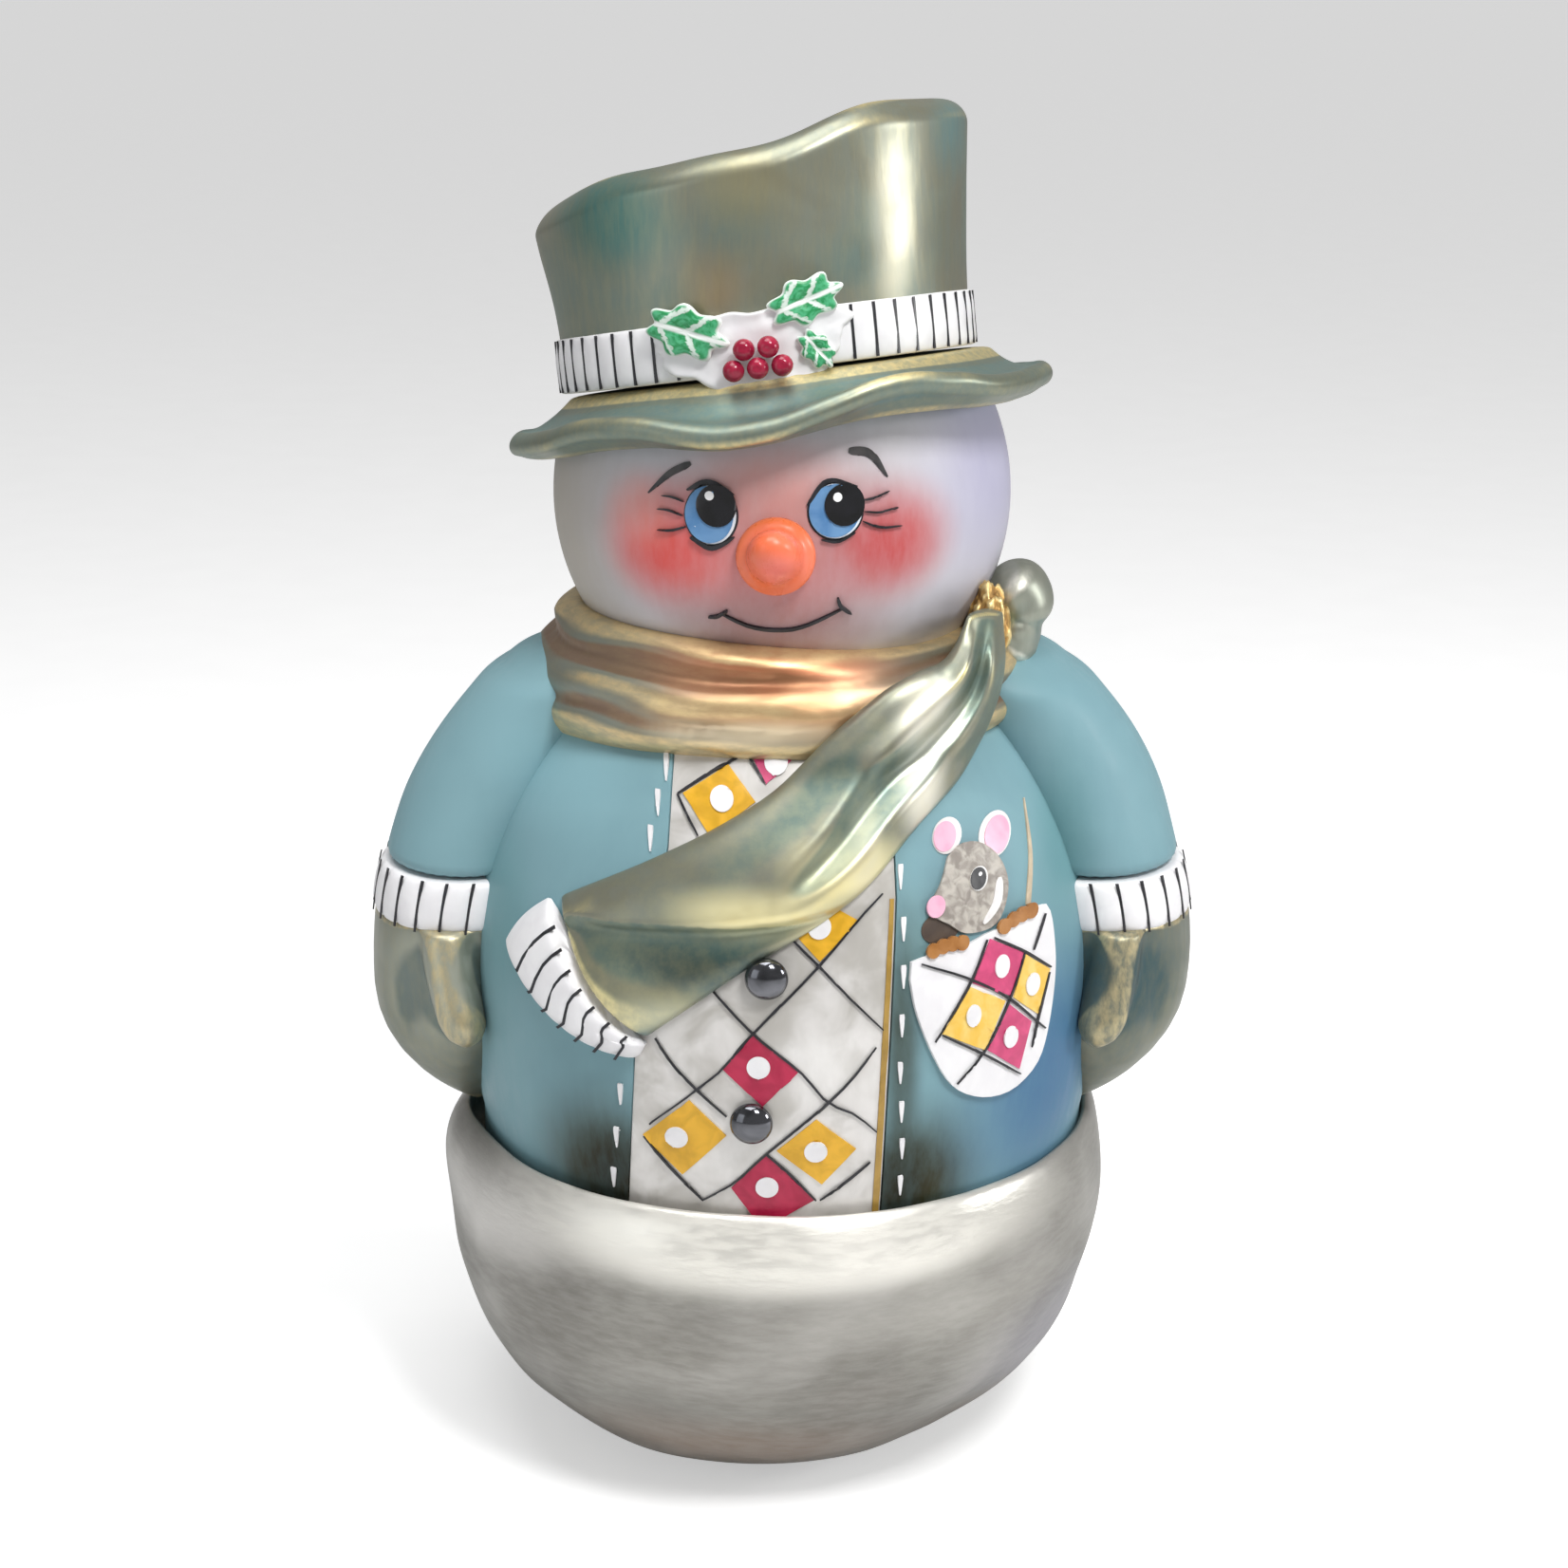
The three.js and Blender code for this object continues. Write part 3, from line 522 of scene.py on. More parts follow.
def group(name, inputs, outputs, fill):
    """A shader group that is built once: fill(tree, inputs) returns its outputs by name."""
    if name in bpy.data.node_groups:
        return bpy.data.node_groups[name]
    tree = bpy.data.node_groups.new(name, "ShaderNodeTree")
    for key, (kind, value) in inputs.items():
        socket = tree.interface.new_socket(key, in_out="INPUT", socket_type=kind)
        socket.default_value = value
    for key in outputs:
        tree.interface.new_socket(key, in_out="OUTPUT", socket_type="NodeSocketFloat")
    entry = tree.nodes.new("NodeGroupInput")
    leave = tree.nodes.new("NodeGroupOutput")
    for key, socket in fill(tree, entry.outputs).items():
        tree.links.new(socket, leave.inputs[key])
    return tree


def soft_spot():
    """An airbrushed spot: 1 in the middle, fading to 0 at its size."""

    def fill(tree, given):
        place = node(tree, "ShaderNodeTexCoord").outputs["Object"]
        away = node(tree, "ShaderNodeVectorMath", {0: place, 1: given["Middle"]}, operation="SUBTRACT")
        offset = {0: away.outputs[0], 1: given["Size"]}
        share = node(tree, "ShaderNodeVectorMath", offset, operation="DIVIDE")
        length = node(tree, "ShaderNodeVectorMath", {0: share.outputs[0]}, operation="LENGTH")
        return {"Mask": fitted(tree, length.outputs["Value"], 0.15, 1.0, 1.0, 0.0)}

    inputs = {"Middle": ("NodeSocketVector", (0, 0, 0)), "Size": ("NodeSocketVector", (1, 1, 1))}
    return group("Soft spot", inputs, ["Mask"], fill)


def brush_marks():
    """Fine streaks of a flat brush, and the cloudy patches that a sponge leaves."""

    def fill(tree, given):
        place = node(tree, "ShaderNodeTexCoord").outputs["Object"]
        drawn = node(tree, "ShaderNodeVectorMath", {0: place, 1: given["Stretch"]}, operation="MULTIPLY")
        streak = node(
            tree,
            "ShaderNodeTexNoise",
            {"Vector": drawn.outputs[0], "Scale": given["Scale"], "Detail": 4.0, "Roughness": 0.6},
        )
        patch = node(
            tree,
            "ShaderNodeTexNoise",
            {"Vector": place, "Scale": given["Patch"], "Detail": 3.0, "Distortion": 0.6},
        )
        return {
            "Streaks": fitted(tree, streak.outputs[0], 0.3, 0.7),
            "Patches": fitted(tree, patch.outputs[0], 0.32, 0.68),
        }

    inputs = {
        "Stretch": ("NodeSocketVector", (1, 1, 0.15)),
        "Scale": ("NodeSocketFloat", 900.0),
        "Patch": ("NodeSocketFloat", 60.0),
    }
    return group("Brush marks", inputs, ["Streaks", "Patches"], fill)


def ridges():
    """Masks of what stands out and of what lies in a hollow, from the piece's own shape."""

    def fill(tree, given):
        stands = node(tree, "ShaderNodeAttribute", attribute_name="ridge").outputs["Fac"]
        return {
            "Raised": fitted(tree, stands, given["Low"], given["High"]),
            "Hollow": fitted(tree, stands, given["Deep"], given["Shallow"], 1.0, 0.0),
        }

    inputs = {
        "Low": ("NodeSocketFloat", 0.1),
        "High": ("NodeSocketFloat", 0.7),
        "Deep": ("NodeSocketFloat", -0.6),
        "Shallow": ("NodeSocketFloat", -0.15),
    }
    return group("Ridges and hollows", inputs, ["Raised", "Hollow"], fill)


def placed(tree, tree_group, **values):
    """A group in a material, with its own values."""
    made = tree.nodes.new("ShaderNodeGroup")
    made.node_tree = tree_group
    for key, value in values.items():
        made.inputs[key].default_value = value
    return made


def finished(name, fill, **settings):
    """A material that is built once. fill(tree) returns its colour, roughness and bump height."""
    if name in bpy.data.materials:
        return bpy.data.materials[name]
    material = bpy.data.materials.new(name)
    material.use_nodes = True
    tree = material.node_tree
    shader = tree.nodes["Principled BSDF"]
    made = fill(tree)
    for key, value in made.items():
        if key == "Height":
            height, strength, distance = value
            given = {"Height": height, "Strength": strength, "Distance": distance}
            tree.links.new(node(tree, "ShaderNodeBump", given).outputs[0], shader.inputs["Normal"])
        else:
            tree.links.new(value, shader.inputs[key])
    for key, value in settings.items():
        shader.inputs[key.replace("_", " ")].default_value = value
    return material


def sprayed(tree, colour, spots):
    """Airbrushes soft spots of (middle, size, colour, strength) over a colour: tints, and in places
    painted highlights and painted shade. Millimetres.
    """
    for middle, size, tint, strength in spots:
        place = {"Middle": [c * MM for c in middle], "Size": [c * MM for c in size]}
        spot = placed(tree, soft_spot(), **place).outputs["Mask"]
        colour = mixed(tree, product(tree, spot, strength), colour, tint)
    return colour


def lustre(name, body, rub, hollow, spots=(), over=(), stretch=(1, 1, 0.2), rub_from=0.1, streak=0.5):
    """Pearl paint: a body colour, sprayed patches, a darker undercoat and painted shade in the hollows,
    gold rubbed on ridges, then painted highlights and shade sprayed over.
    """

    def fill(tree):
        marks = placed(tree, brush_marks(), Stretch=stretch, Scale=700.0, Patch=55.0)
        shape = placed(tree, ridges(), Low=rub_from)
        colour = mixed(tree, product(tree, marks.outputs["Patches"], 0.25), body, hollow)
        colour = sprayed(tree, colour, spots)
        # Darker in the hollows: the undercoat showing, and painted shade in the creases.
        deep = product(tree, shape.outputs["Hollow"], 0.6)
        colour = mixed(tree, deep, colour, hollow)
        grain = sums(tree, "ADD", product(tree, marks.outputs["Streaks"], streak), 1 - streak)
        rubbed = product(tree, shape.outputs["Raised"], grain)
        colour = mixed(tree, product(tree, rubbed, 0.85), colour, rub)
        # Painted highlights and painted shade, sprayed over the rubbed gold.
        colour = sprayed(tree, colour, over)
        flecks = product(tree, marks.outputs["Streaks"], 0.09)
        colour = mixed(tree, flecks, colour, rub)
        return {
            "Base Color": colour,
            "Roughness": fitted(tree, marks.outputs["Patches"], 0.0, 1.0, 0.34, 0.45),
            "Metallic": fitted(tree, grain, 0.0, 1.0, 0.4, 0.7),
            "Height": (marks.outputs["Streaks"], 0.15, FINE_GRAIN),
        }

    return finished(name, fill)


def satin(name, body, light, spots=(), rough=0.45, patch=28.0, strength=0.5, metal=0.0, sheen=0.5):
    """Satin paint with a cloudy change of tone, airbrushed spots (tints, and on some pieces painted
    highlights and shade) and a fine brush grain.
    """

    def fill(tree):
        marks = placed(tree, brush_marks(), Stretch=(1, 1, 0.35), Scale=420.0, Patch=patch)
        colour = mixed(tree, product(tree, marks.outputs["Patches"], strength), body, light)
        colour = sprayed(tree, colour, spots)
        streaks = product(tree, marks.outputs["Streaks"], 0.1)
        colour = mixed(tree, streaks, colour, light)
        return {
            "Base Color": colour,
            "Roughness": fitted(tree, marks.outputs["Streaks"], 0.0, 1.0, rough - 0.06, rough + 0.08),
            "Height": (marks.outputs["Streaks"], 0.12, FINE_GRAIN),
        }

    return finished(name, fill, Metallic=metal, Specular_IOR_Level=sheen)


def shaded(colour, by):
    return [c * by for c in values(colour)]


def coat_paint():
    c = colours()
    light, shade = "#8fbac4", c.coat_shade
    spots = [
        ((-31, -48, 68), (19, 30, 22), shade, 1.0),
        ((24, -50, 68), (16, 30, 20), shade, 1.0),
        ((19.5, -54, 68), (9, 26, 15), shaded(shade, 0.4), 1.0),
        ((-29, -50, 67), (12, 26, 15), shaded(shade, 0.4), 1.0),
        ((20.5, -52, 95), (5, 30, 34), shade, 0.8),
        ((46, -32, 82), (30, 36, 34), "#38668f", 0.9),
        ((26, -44, 112), (9, 24, 14), "#55685a", 0.45),
        # A painted highlight on the left shoulder.
        ((-40, -30, 138), (20, 40, 16), light, 0.5),
        ((33, -50, 121), (12, 30, 15), "#55707c", 0.6),
        # Painted shade in the creases between the sleeves and the coat.
        ((-48, -20, 108), (10, 30, 20), "#4e8587", 0.5),
        ((50, -20, 120), (10, 30, 24), "#4e8587", 0.45),
    ]
    return satin("coat paint", c.coat, "#88adb4", spots, sheen=0.2)


def face_paint():
    c = colours()
    soft = "#e9a196"
    # Blush, coral and lilac tints, and painted shade: the left side of the head darker, away from the
    # light, a darker coral across the middle of the face that is partly blush and partly painted shade
    # from the brim, and the chin darker under the mouth.
    spots = [
        ((-38, -8, 172), (24, 40, 44), "#aba394", 0.85),
        ((36, -14, 190), (22, 40, 30), "#aeacc6", 0.85),
        ((-2, -41, 188), (20, 20, 11), soft, 0.6),
        ((-1, -41, 171), (17, 20, 10), "#e29aa0", 0.85),
        ((0, -41, 178), (36, 22, 24), "#b86f68", 0.6),
        ((-19, -36, 178), (19, 18, 15), c.blush, 1.0),
        ((18, -37, 179), (18, 18, 14), "#bd4c4c", 1.0),
        ((-24, -33, 184), (9, 16, 9), soft, 0.5),
        ((-2, -40, 163), (28, 22, 12), "#9c6a64", 0.7),
    ]
    return satin("face paint", c.skin, "#dad8e2", spots, rough=0.5, patch=20.0, strength=0.4)


def snow_paint():
    c = colours()
    bright, dent_shade = "#efece8", "#8f8982"

    def fill(tree):
        marks = placed(tree, brush_marks(), Stretch=(0.25, 0.25, 1), Scale=800.0, Patch=34.0)
        shape = placed(tree, ridges(), Low=0.1, High=0.9, Deep=-1.0, Shallow=-0.1)
        cloud = product(tree, marks.outputs["Patches"], 0.6)
        colour = mixed(tree, cloud, c.snow, "#726f69")
        # Painted highlights along the top of the ball, where the light falls from above, painted shade
        # across the middle and darker towards the bottom, with lighter and lilac tints between.
        spots = [
            ((0, -50, 60), (70, 40, 14), "#fffcf2", 1.0),
            ((0, -58, 57), (50, 30, 8), "#fffcf2", 1.0),
            ((-52, -30, 54), (22, 40, 12), bright, 0.5),
            ((20, -50, 44), (50, 40, 10), "#c2bfb8", 0.5),
            ((-6, -55, 34), (56, 40, 16), "#8d8a82", 0.6),
            ((-8, -50, 14), (44, 40, 12), "#8a7260", 0.6),
            ((40, -30, 12), (30, 40, 10), "#7c746c", 0.5),
            ((50, -30, 26), (24, 40, 20), "#a9a7b4", 0.5),
        ]
        colour = sprayed(tree, colour, spots)
        # Painted shade in the dents.
        colour = mixed(tree, product(tree, shape.outputs["Hollow"], 0.3), colour, dent_shade)
        rub = product(tree, shape.outputs["Raised"], 0.16)
        colour = mixed(tree, rub, colour, bright)
        streaks = product(tree, marks.outputs["Streaks"], 0.12)
        colour = mixed(tree, streaks, colour, bright)
        return {
            "Base Color": colour,
            "Roughness": fitted(tree, marks.outputs["Patches"], 0.0, 1.0, 0.3, 0.44),
            "Metallic": fitted(tree, marks.outputs["Streaks"], 0.0, 1.0, 0.35, 0.6),
            "Height": (marks.outputs["Streaks"], 0.3, COARSE_GRAIN),
        }

    return finished("snow paint", fill)


def hat_spots():
    c = colours()
    return [
        ((-30, -26, 232), (18, 30, 14), "#3f7a76", 0.8),
        ((32, -18, 246), (9, 26, 12), "#6f9fa4", 0.8),
        ((-6, -34, 238), (12, 20, 9), "#a59a70", 0.5),
        ((-12, -36, 222), (9, 20, 9), "#a8875c", 0.55),
        # A painted highlight: a narrow pale stripe down the front right of the crown.
        ((19, -33, 232), (6, 20, 22), "#efe8d0", 0.8),
        ((6, -38, 236), (14, 20, 16), c.pewter, 0.5),
    ]


def hat_paint():
    c = colours()
    return lustre("hat paint", c.pewter, c.gold, c.teal, hat_spots(), rub_from=0.35)


def brim_paint():
    c = colours()
    body = "#7d8578"
    return lustre("brim paint", body, c.gold, "#6d8f8f", stretch=(1, 1, 1), rub_from=0.3)


def mitten_paint():
    spots = [
        ((-64, -14, 96), (16, 40, 22), "#b3b6a8", 0.75),
        ((62, -20, 96), (15, 40, 18), "#244850", 0.85),
    ]
    body, rub, hollow = "#7c8074", "#cfc096", "#2f5158"
    return lustre("mitten paint", body, rub, hollow, spots, stretch=(1, 1, 0.4), rub_from=0.5, streak=0.8)


def wrap_paint():
    c = colours()
    spots = [
        ((0, -44, 159), (34, 30, 10), c.copper, 0.95),
        ((0, -46, 150), (38, 30, 7), "#cf9c6c", 0.8),
        ((-33, -26, 150), (17, 30, 26), "#8c9186", 1.0),
        # Painted shade along the underside of the wrap.
        ((0, -50, 141), (46, 30, 6), "#7f8376", 0.9),
    ]
    # A painted highlight across the front of the lower roll.
    shine = [((-6, -50, 147), (24, 30, 3.5), "#fbeccb", 0.75)]
    return lustre(
        "wrap paint", c.pewter, "#f0d6a0", "#8a5a3c", spots, shine, (0.3, 0.3, 1), 0.12
    )


def tail_paint():
    c = colours()
    crest_highlight = "#f6ecb8"
    # Teal and olive tints on the lower end, painted highlights along the fold crests and at the top by the
    # knot, and painted shade in the crease under the upper fold.
    spots = [
        ((-14, -56, 103), (22, 22, 10), "#4d737a", 0.6),
        ((-30, -52, 108), (10, 22, 10), "#77745a", 0.6),
        ((12, -58, 126), (15, 24, 8), crest_highlight, 1.0),
        ((-4, -58, 119.5), (20, 24, 6.5), crest_highlight, 1.0),
        ((-10, -56, 112), (20, 20, 3.5), "#3b4c46", 0.8),
        ((14, -52, 130), (4, 20, 12), "#e9e2c4", 0.7),
        ((24, -46, 140), (6, 20, 14), "#f6f2e2", 1.0),
        ((8, -56, 128), (12, 20, 5), "#c9c4a4", 0.6),
        ((-20, -54, 103), (12, 20, 7), "#a89a68", 0.6),
        ((-25, -53, 97), (5, 20, 4), "#4a7480", 0.6),
    ]
    # Sprayed over the rubbed gold: painted shade in the crease above the flap, a painted highlight at the
    # top by the knot, and a painted highlight on the flap.
    over = [
        ((-17, -56, 110), (16, 20, 5), "#3c4a45", 0.85),
        ((-3, -58, 109), (12, 20, 5), "#4a6466", 0.7),
        ((26, -46, 150), (9, 20, 9), "#f6f2e2", 0.7),
        ((-20, -54, 101), (12, 20, 6), "#c4cab8", 0.55),
    ]
    rub, hollow = "#efe2a8", "#4b6c68"
    return lustre("tail paint", c.pewter, rub, hollow, spots, over, (0.5, 0.5, 0.5), 0.2)


def knot_paint():
    return lustre("knot paint", "#a0a294", "#f2efe2", "#64807c", rub_from=0.2)


def gold_paint():
    return lustre("gold paint", "#d2a862", "#f3dfa4", "#8a6234", rub_from=0.0)


def shirt_paint():
    c = colours()
    spots = [
        ((-2, -60, 108), (12, 20, 10), "#a8a49c", 0.45),
        ((6, -60, 92), (14, 20, 9), "#f1efec", 0.6),
        ((-8, -60, 74), (18, 20, 9), "#efedea", 0.5),
        ((-10, -58, 140), (14, 20, 8), "#f6f5f4", 0.8),
    ]
    return satin("shirt paint", c.shirt, "#aeaaa2", spots, 0.34, 110.0, 0.75, 0.2)


def enamel_paint():
    c = colours()
    return satin("enamel", c.enamel, "#d9d6da", rough=0.38, patch=150.0, strength=0.4)


def flat_paint(name, colour, light=None, rough=0.35):
    light = light or [min(1.0, v * 1.6 + 0.02) for v in values(colour)]
    return satin(name, colour, light, rough=rough, patch=260.0, strength=0.5)


def black_line():
    return flat_paint("black line", colours().ink, "#34343a")


def button_metal():
    def fill(tree):
        marks = placed(tree, brush_marks(), Stretch=(1, 1, 1), Scale=300.0, Patch=160.0)
        return {
            "Base Color": mixed(tree, marks.outputs["Patches"], "#4c4d51", "#797a80"),
            "Roughness": fitted(tree, marks.outputs["Streaks"], 0.0, 1.0, 0.1, 0.18),
        }

    return finished("button silver", fill, Metallic=1.0, Coat_Weight=0.5)


def nose_paint():
    c = colours()
    spots = [
        # Pinker and lighter on the front of the dome: a painted highlight.
        ((-1, -51, 174), (7, 7, 7), "#fc8580", 0.95),
        ((-1, -42, 180), (12, 3, 12), "#e8762e", 0.9),
    ]
    return satin("nose paint", c.nose, "#fb8a78", spots, rough=0.3, patch=120.0, strength=0.5)


def leaf_paint():
    """Green dabs on white enamel, with the veins left light."""
    c = colours()

    def fill(tree):
        place = node(tree, "ShaderNodeAttribute", attribute_name="leaf place").outputs["Vector"]
        parts = node(tree, "ShaderNodeSeparateXYZ", {0: place})
        along, aside = parts.outputs[0], sums(tree, "ABSOLUTE", parts.outputs[1])
        rough_edge = node(tree, "ShaderNodeTexNoise", {"Vector": place, "Scale": 5.0, "Detail": 3.0})
        slanted = sums(tree, "ADD", along, product(tree, aside, -0.9))
        wobble = product(tree, rough_edge.outputs[0], 3.2)
        wave = sums(tree, "SINE", sums(tree, "ADD", product(tree, slanted, 9.0), wobble))
        veins = fitted(tree, wave, 0.5, 0.95)
        rib = fitted(tree, aside, 0.03, 0.1, 1.0, 0.0)
        edge = fitted(tree, parts.outputs[2], 0.88, 1.0)
        light_veins = product(tree, veins, 0.75)
        bare = sums(tree, "MAXIMUM", sums(tree, "MAXIMUM", light_veins, rib), edge)
        green = mixed(tree, fitted(tree, rough_edge.outputs[0], 0.35, 0.65), c.holly, "#4fae7d")
        return {
            "Base Color": mixed(tree, bare, green, "#eef2ee"),
            "Roughness": fitted(tree, rough_edge.outputs[0], 0.0, 1.0, 0.3, 0.45),
            "Height": (veins, 0.3, COARSE_GRAIN),
        }

    return finished("leaf paint", fill)


def berry_paint():
    c = colours()
    return satin("berry paint", c.berry, "#b02c48", rough=0.15, patch=420.0, strength=0.6)


def wood_finish():
    """Bare wood with long grain, for the dowels."""

    def fill(tree):
        place = node(tree, "ShaderNodeTexCoord").outputs["Object"]
        drawn = node(tree, "ShaderNodeVectorMath", {0: place, 1: (1, 1, 0.08)}, operation="MULTIPLY")
        given = {"Vector": drawn.outputs[0], "Scale": 600.0, "Detail": 5.0}
        grain = node(tree, "ShaderNodeTexNoise", given)
        return {
            "Base Color": mixed(tree, grain.outputs[0], "#c89f6a", "#8f6436"),
            "Roughness": fitted(tree, grain.outputs[0], 0.0, 1.0, 0.55, 0.75),
            "Height": (grain.outputs[0], 0.4, COARSE_GRAIN),
        }

    return finished("dowel wood", fill)


def felt_finish():
    def fill(tree):
        place = node(tree, "ShaderNodeTexCoord").outputs["Object"]
        fuzz = node(tree, "ShaderNodeTexNoise", {"Vector": place, "Scale": 2500.0, "Detail": 6.0})
        return {
            "Base Color": mixed(tree, fuzz.outputs[0], "#2c2a29", "#55504c"),
            "Roughness": fitted(tree, fuzz.outputs[0], 0.0, 1.0, 0.85, 1.0),
            "Height": (fuzz.outputs[0], 0.8, 0.0003),
        }

    return finished("felt", fill, Sheen_Weight=0.5)


# Forms that several pieces share


def coat_radius(z):
    t = min(max((z - BALL_TOP) / COAT_HEIGHT, 0.0), 1.0)
    if t < 0.3:
        return COAT_RADIUS * (1 - WAIST_TUCK * (1 - t / 0.3) ** 2)
    return COAT_RADIUS * (1 - SHOULDER_TUCK * ((t - 0.3) / 0.7) ** 2.4)


def coat_spot(x, z, out):
    """A point over the coat's front."""
    r = coat_radius(z) + out
    return Vector((x, -math.sqrt(r * r - x * x), z))


def arm_ring(side, z, scale):
    """(middle, half width, half depth) of an arm at a height. The right arm is a little different."""
    fuller = 2 * MM * ramp(z, CUFF_TOP, COAT_TOP - 6 * MM)
    slimmer = 2.6 * MM * (1 - ramp(z, BALL_TOP, CUFF_LOW - 4 * MM))
    x = coat_radius(z) + 0.5 * MM + (fuller - slimmer if side > 0 else 0)
    y = -ARM_FORWARD * (0.4 + 0.8 * ramp(COAT_TOP - z, 0, COAT_HEIGHT))
    return Vector((side * x, y, z)), (ARM_STANDOUT - 0.5 * MM) * scale, ARM_DEPTH * scale


def arm_scale(z):
    """Share of the arm's full section, closing over the shoulder and under the hand."""
    shoulder = COAT_TOP - 4 * MM
    palm = BALL_TOP + 27 * MM
    if z > shoulder:
        return math.sqrt(max(1 - ((z - shoulder) / (9 * MM)) ** 2, 0.004))
    if z < palm:
        return 1 - 0.94 * ((palm - z) / (palm - BALL_TOP - GAP)) ** 2.4
    return 1.0


def lean_hat(v):
    """Leans a point of the upright hat over the head."""
    h = v.z
    up = min(max((h - CROWN_BASE) / CROWN_HEIGHT, 0.0), 1.0)
    slope = HAT_TILT + 0.15 * ramp(h, CROWN_BASE + BAND_HEIGHT, CROWN_BASE + CROWN_HEIGHT)
    x = v.x + HAT_X - 3.6 * MM * up
    return Vector((x, v.y + HAT_BACK * h, HAT_Z + h + v.x * slope - v.y * HAT_BACK))


def crown_radius(h):
    return CROWN_RADIUS + 2.7 * MM * (h - CROWN_BASE) / CROWN_HEIGHT


def on_crown(s, h, out):
    """A spot on the crown's front: s along it, h over the hat's floor."""
    a = s / CROWN_RADIUS
    r = crown_radius(h) + out
    return lean_hat(Vector((CROWN_X + r * math.sin(a), -r * math.cos(a), h)))


# Pieces


def ball_line():
    """The snowball's side, from its foot to its lip, as (radius, height)."""
    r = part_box("snowball_base")[1].y
    side = [(0.67, 0.1), (0.84, 0.25), (0.96, 0.49), (1, 0.74), (0.988, 0.87), (0.965, 0.945)]
    stops = [(29 * MM, 0.8 * MM)] + [(across * r, up * BALL_TOP) for across, up in side]
    return [tuple(p) for p in smooth_line(stops, 16)]


def pressed(v):
    """Lets the belly hang to one side, and presses the dents of two hands into it."""
    dents = [  # way round in radians, height as a share of the ball's, depth in millimetres
        (-0.9, 0.2, 2.9), (-1.95, 0.3, 2.6), (-1.3, 0.42, 1.4), (0.6, 0.25, 2.2), (2.4, 0.45, 2.2),
        (-3.0, 0.93, -2.0), (-2.45, 0.16, 1.6), (1.5, 0.35, 2.0), (3.1, 0.3, 1.6), (-0.35, 0.5, 1.0),
    ]
    way = math.atan2(v.y, v.x)
    level = v.z / BALL_TOP
    radius = math.hypot(v.x, v.y)
    press = 0.0
    for angle, height, deep in dents:
        turn = math.atan2(math.sin(way - angle), math.cos(way - angle))
        press += deep * MM * math.exp(-((turn / 0.26) ** 2) - ((level - height) / 0.12) ** 2)
    lumps = 0.9 * MM * noise.noise(v * 36) + 0.25 * MM * noise.noise(v * 95)
    share = 1 - (press - lumps * ramp(level, 0.0, 0.15)) / radius if radius > 8 * MM else 1
    lean = -1.4 * MM * (1 - min(level, 1) ** 8) - 2.6 * MM * (1 - level) ** 3
    return Vector((v.x * share + lean, v.y * share, v.z))


class SnowmanOperator(bpy.types.Operator):
    """What the operators share."""

    bl_options = {"REGISTER", "UNDO"}


class SNOWMAN_OT_snowball(SnowmanOperator):
    """Models the hand-packed snowball with its rounded lip, and finishes the felt pad under it"""

    bl_idname = "snowman.snowball"
    bl_label = "Snowball"

    def execute(self, context):
        coat = coat_radius(BALL_TOP)
        lip = [(coat + 2.6 * MM, BALL_TOP - 1.2 * MM), (coat + 1.5 * MM, BALL_TOP - 0.3 * MM)]
        lip += [(coat + 0.8 * MM, BALL_TOP - 0.6 * MM), (coat + 0.35 * MM, BALL_TOP - 2 * MM)]
        lip += [(coat + GAP, BALL_TOP - 8 * MM)]
        foot = [(26 * MM, 0.8 * MM), (28.6 * MM, 0.8 * MM)]
        ball = turned("snowball", [*foot, *ball_line(), *lip], 64)
        rounded(ball, 2)
        moulded(ball, pressed)
        marked(ball, 60, 0.5 * MM)
        done(ball, snow_paint(), "snow", "snowball_base")
        coated(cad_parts["felt_pad"], felt_finish())
        return {"FINISHED"}


def panel_outline(grow=0.0):
    """The opening for the shirt front: a long strip that slants and narrows as it rises."""
    low = BALL_TOP - 4 * MM - grow
    high = COAT_TOP - 0.06 * COAT_HEIGHT + grow
    right = [(17.0 * MM + grow, low), (18.4 * MM + grow, 95 * MM), (19.4 * MM + grow, 120 * MM)]
    left = [(-19.4 * MM - grow, 128 * MM), (-25.2 * MM - grow, 95 * MM), (-27.2 * MM - grow, low)]
    return [*right, (18.2 * MM + grow, high), (-18.4 * MM - grow, high), *left]


def coat_form():
    side = [(coat_radius(z), z) for z in steps(BALL_TOP, COAT_TOP, 26)]
    foot = coat_radius(BALL_TOP)
    return turned("coat", [(foot, COAT_FOOT), (foot, BALL_TOP - 6 * MM), *side], 96)


def within(outline, x, z):
    """Whether a point of front view lies inside an outline."""
    inside = False
    for (ax, az), (bx, bz) in zip(outline, outline[1:] + outline[:1]):
        if (az > z) != (bz > z) and x < ax + (z - az) * (bx - ax) / (bz - az):
            inside = not inside
    return inside


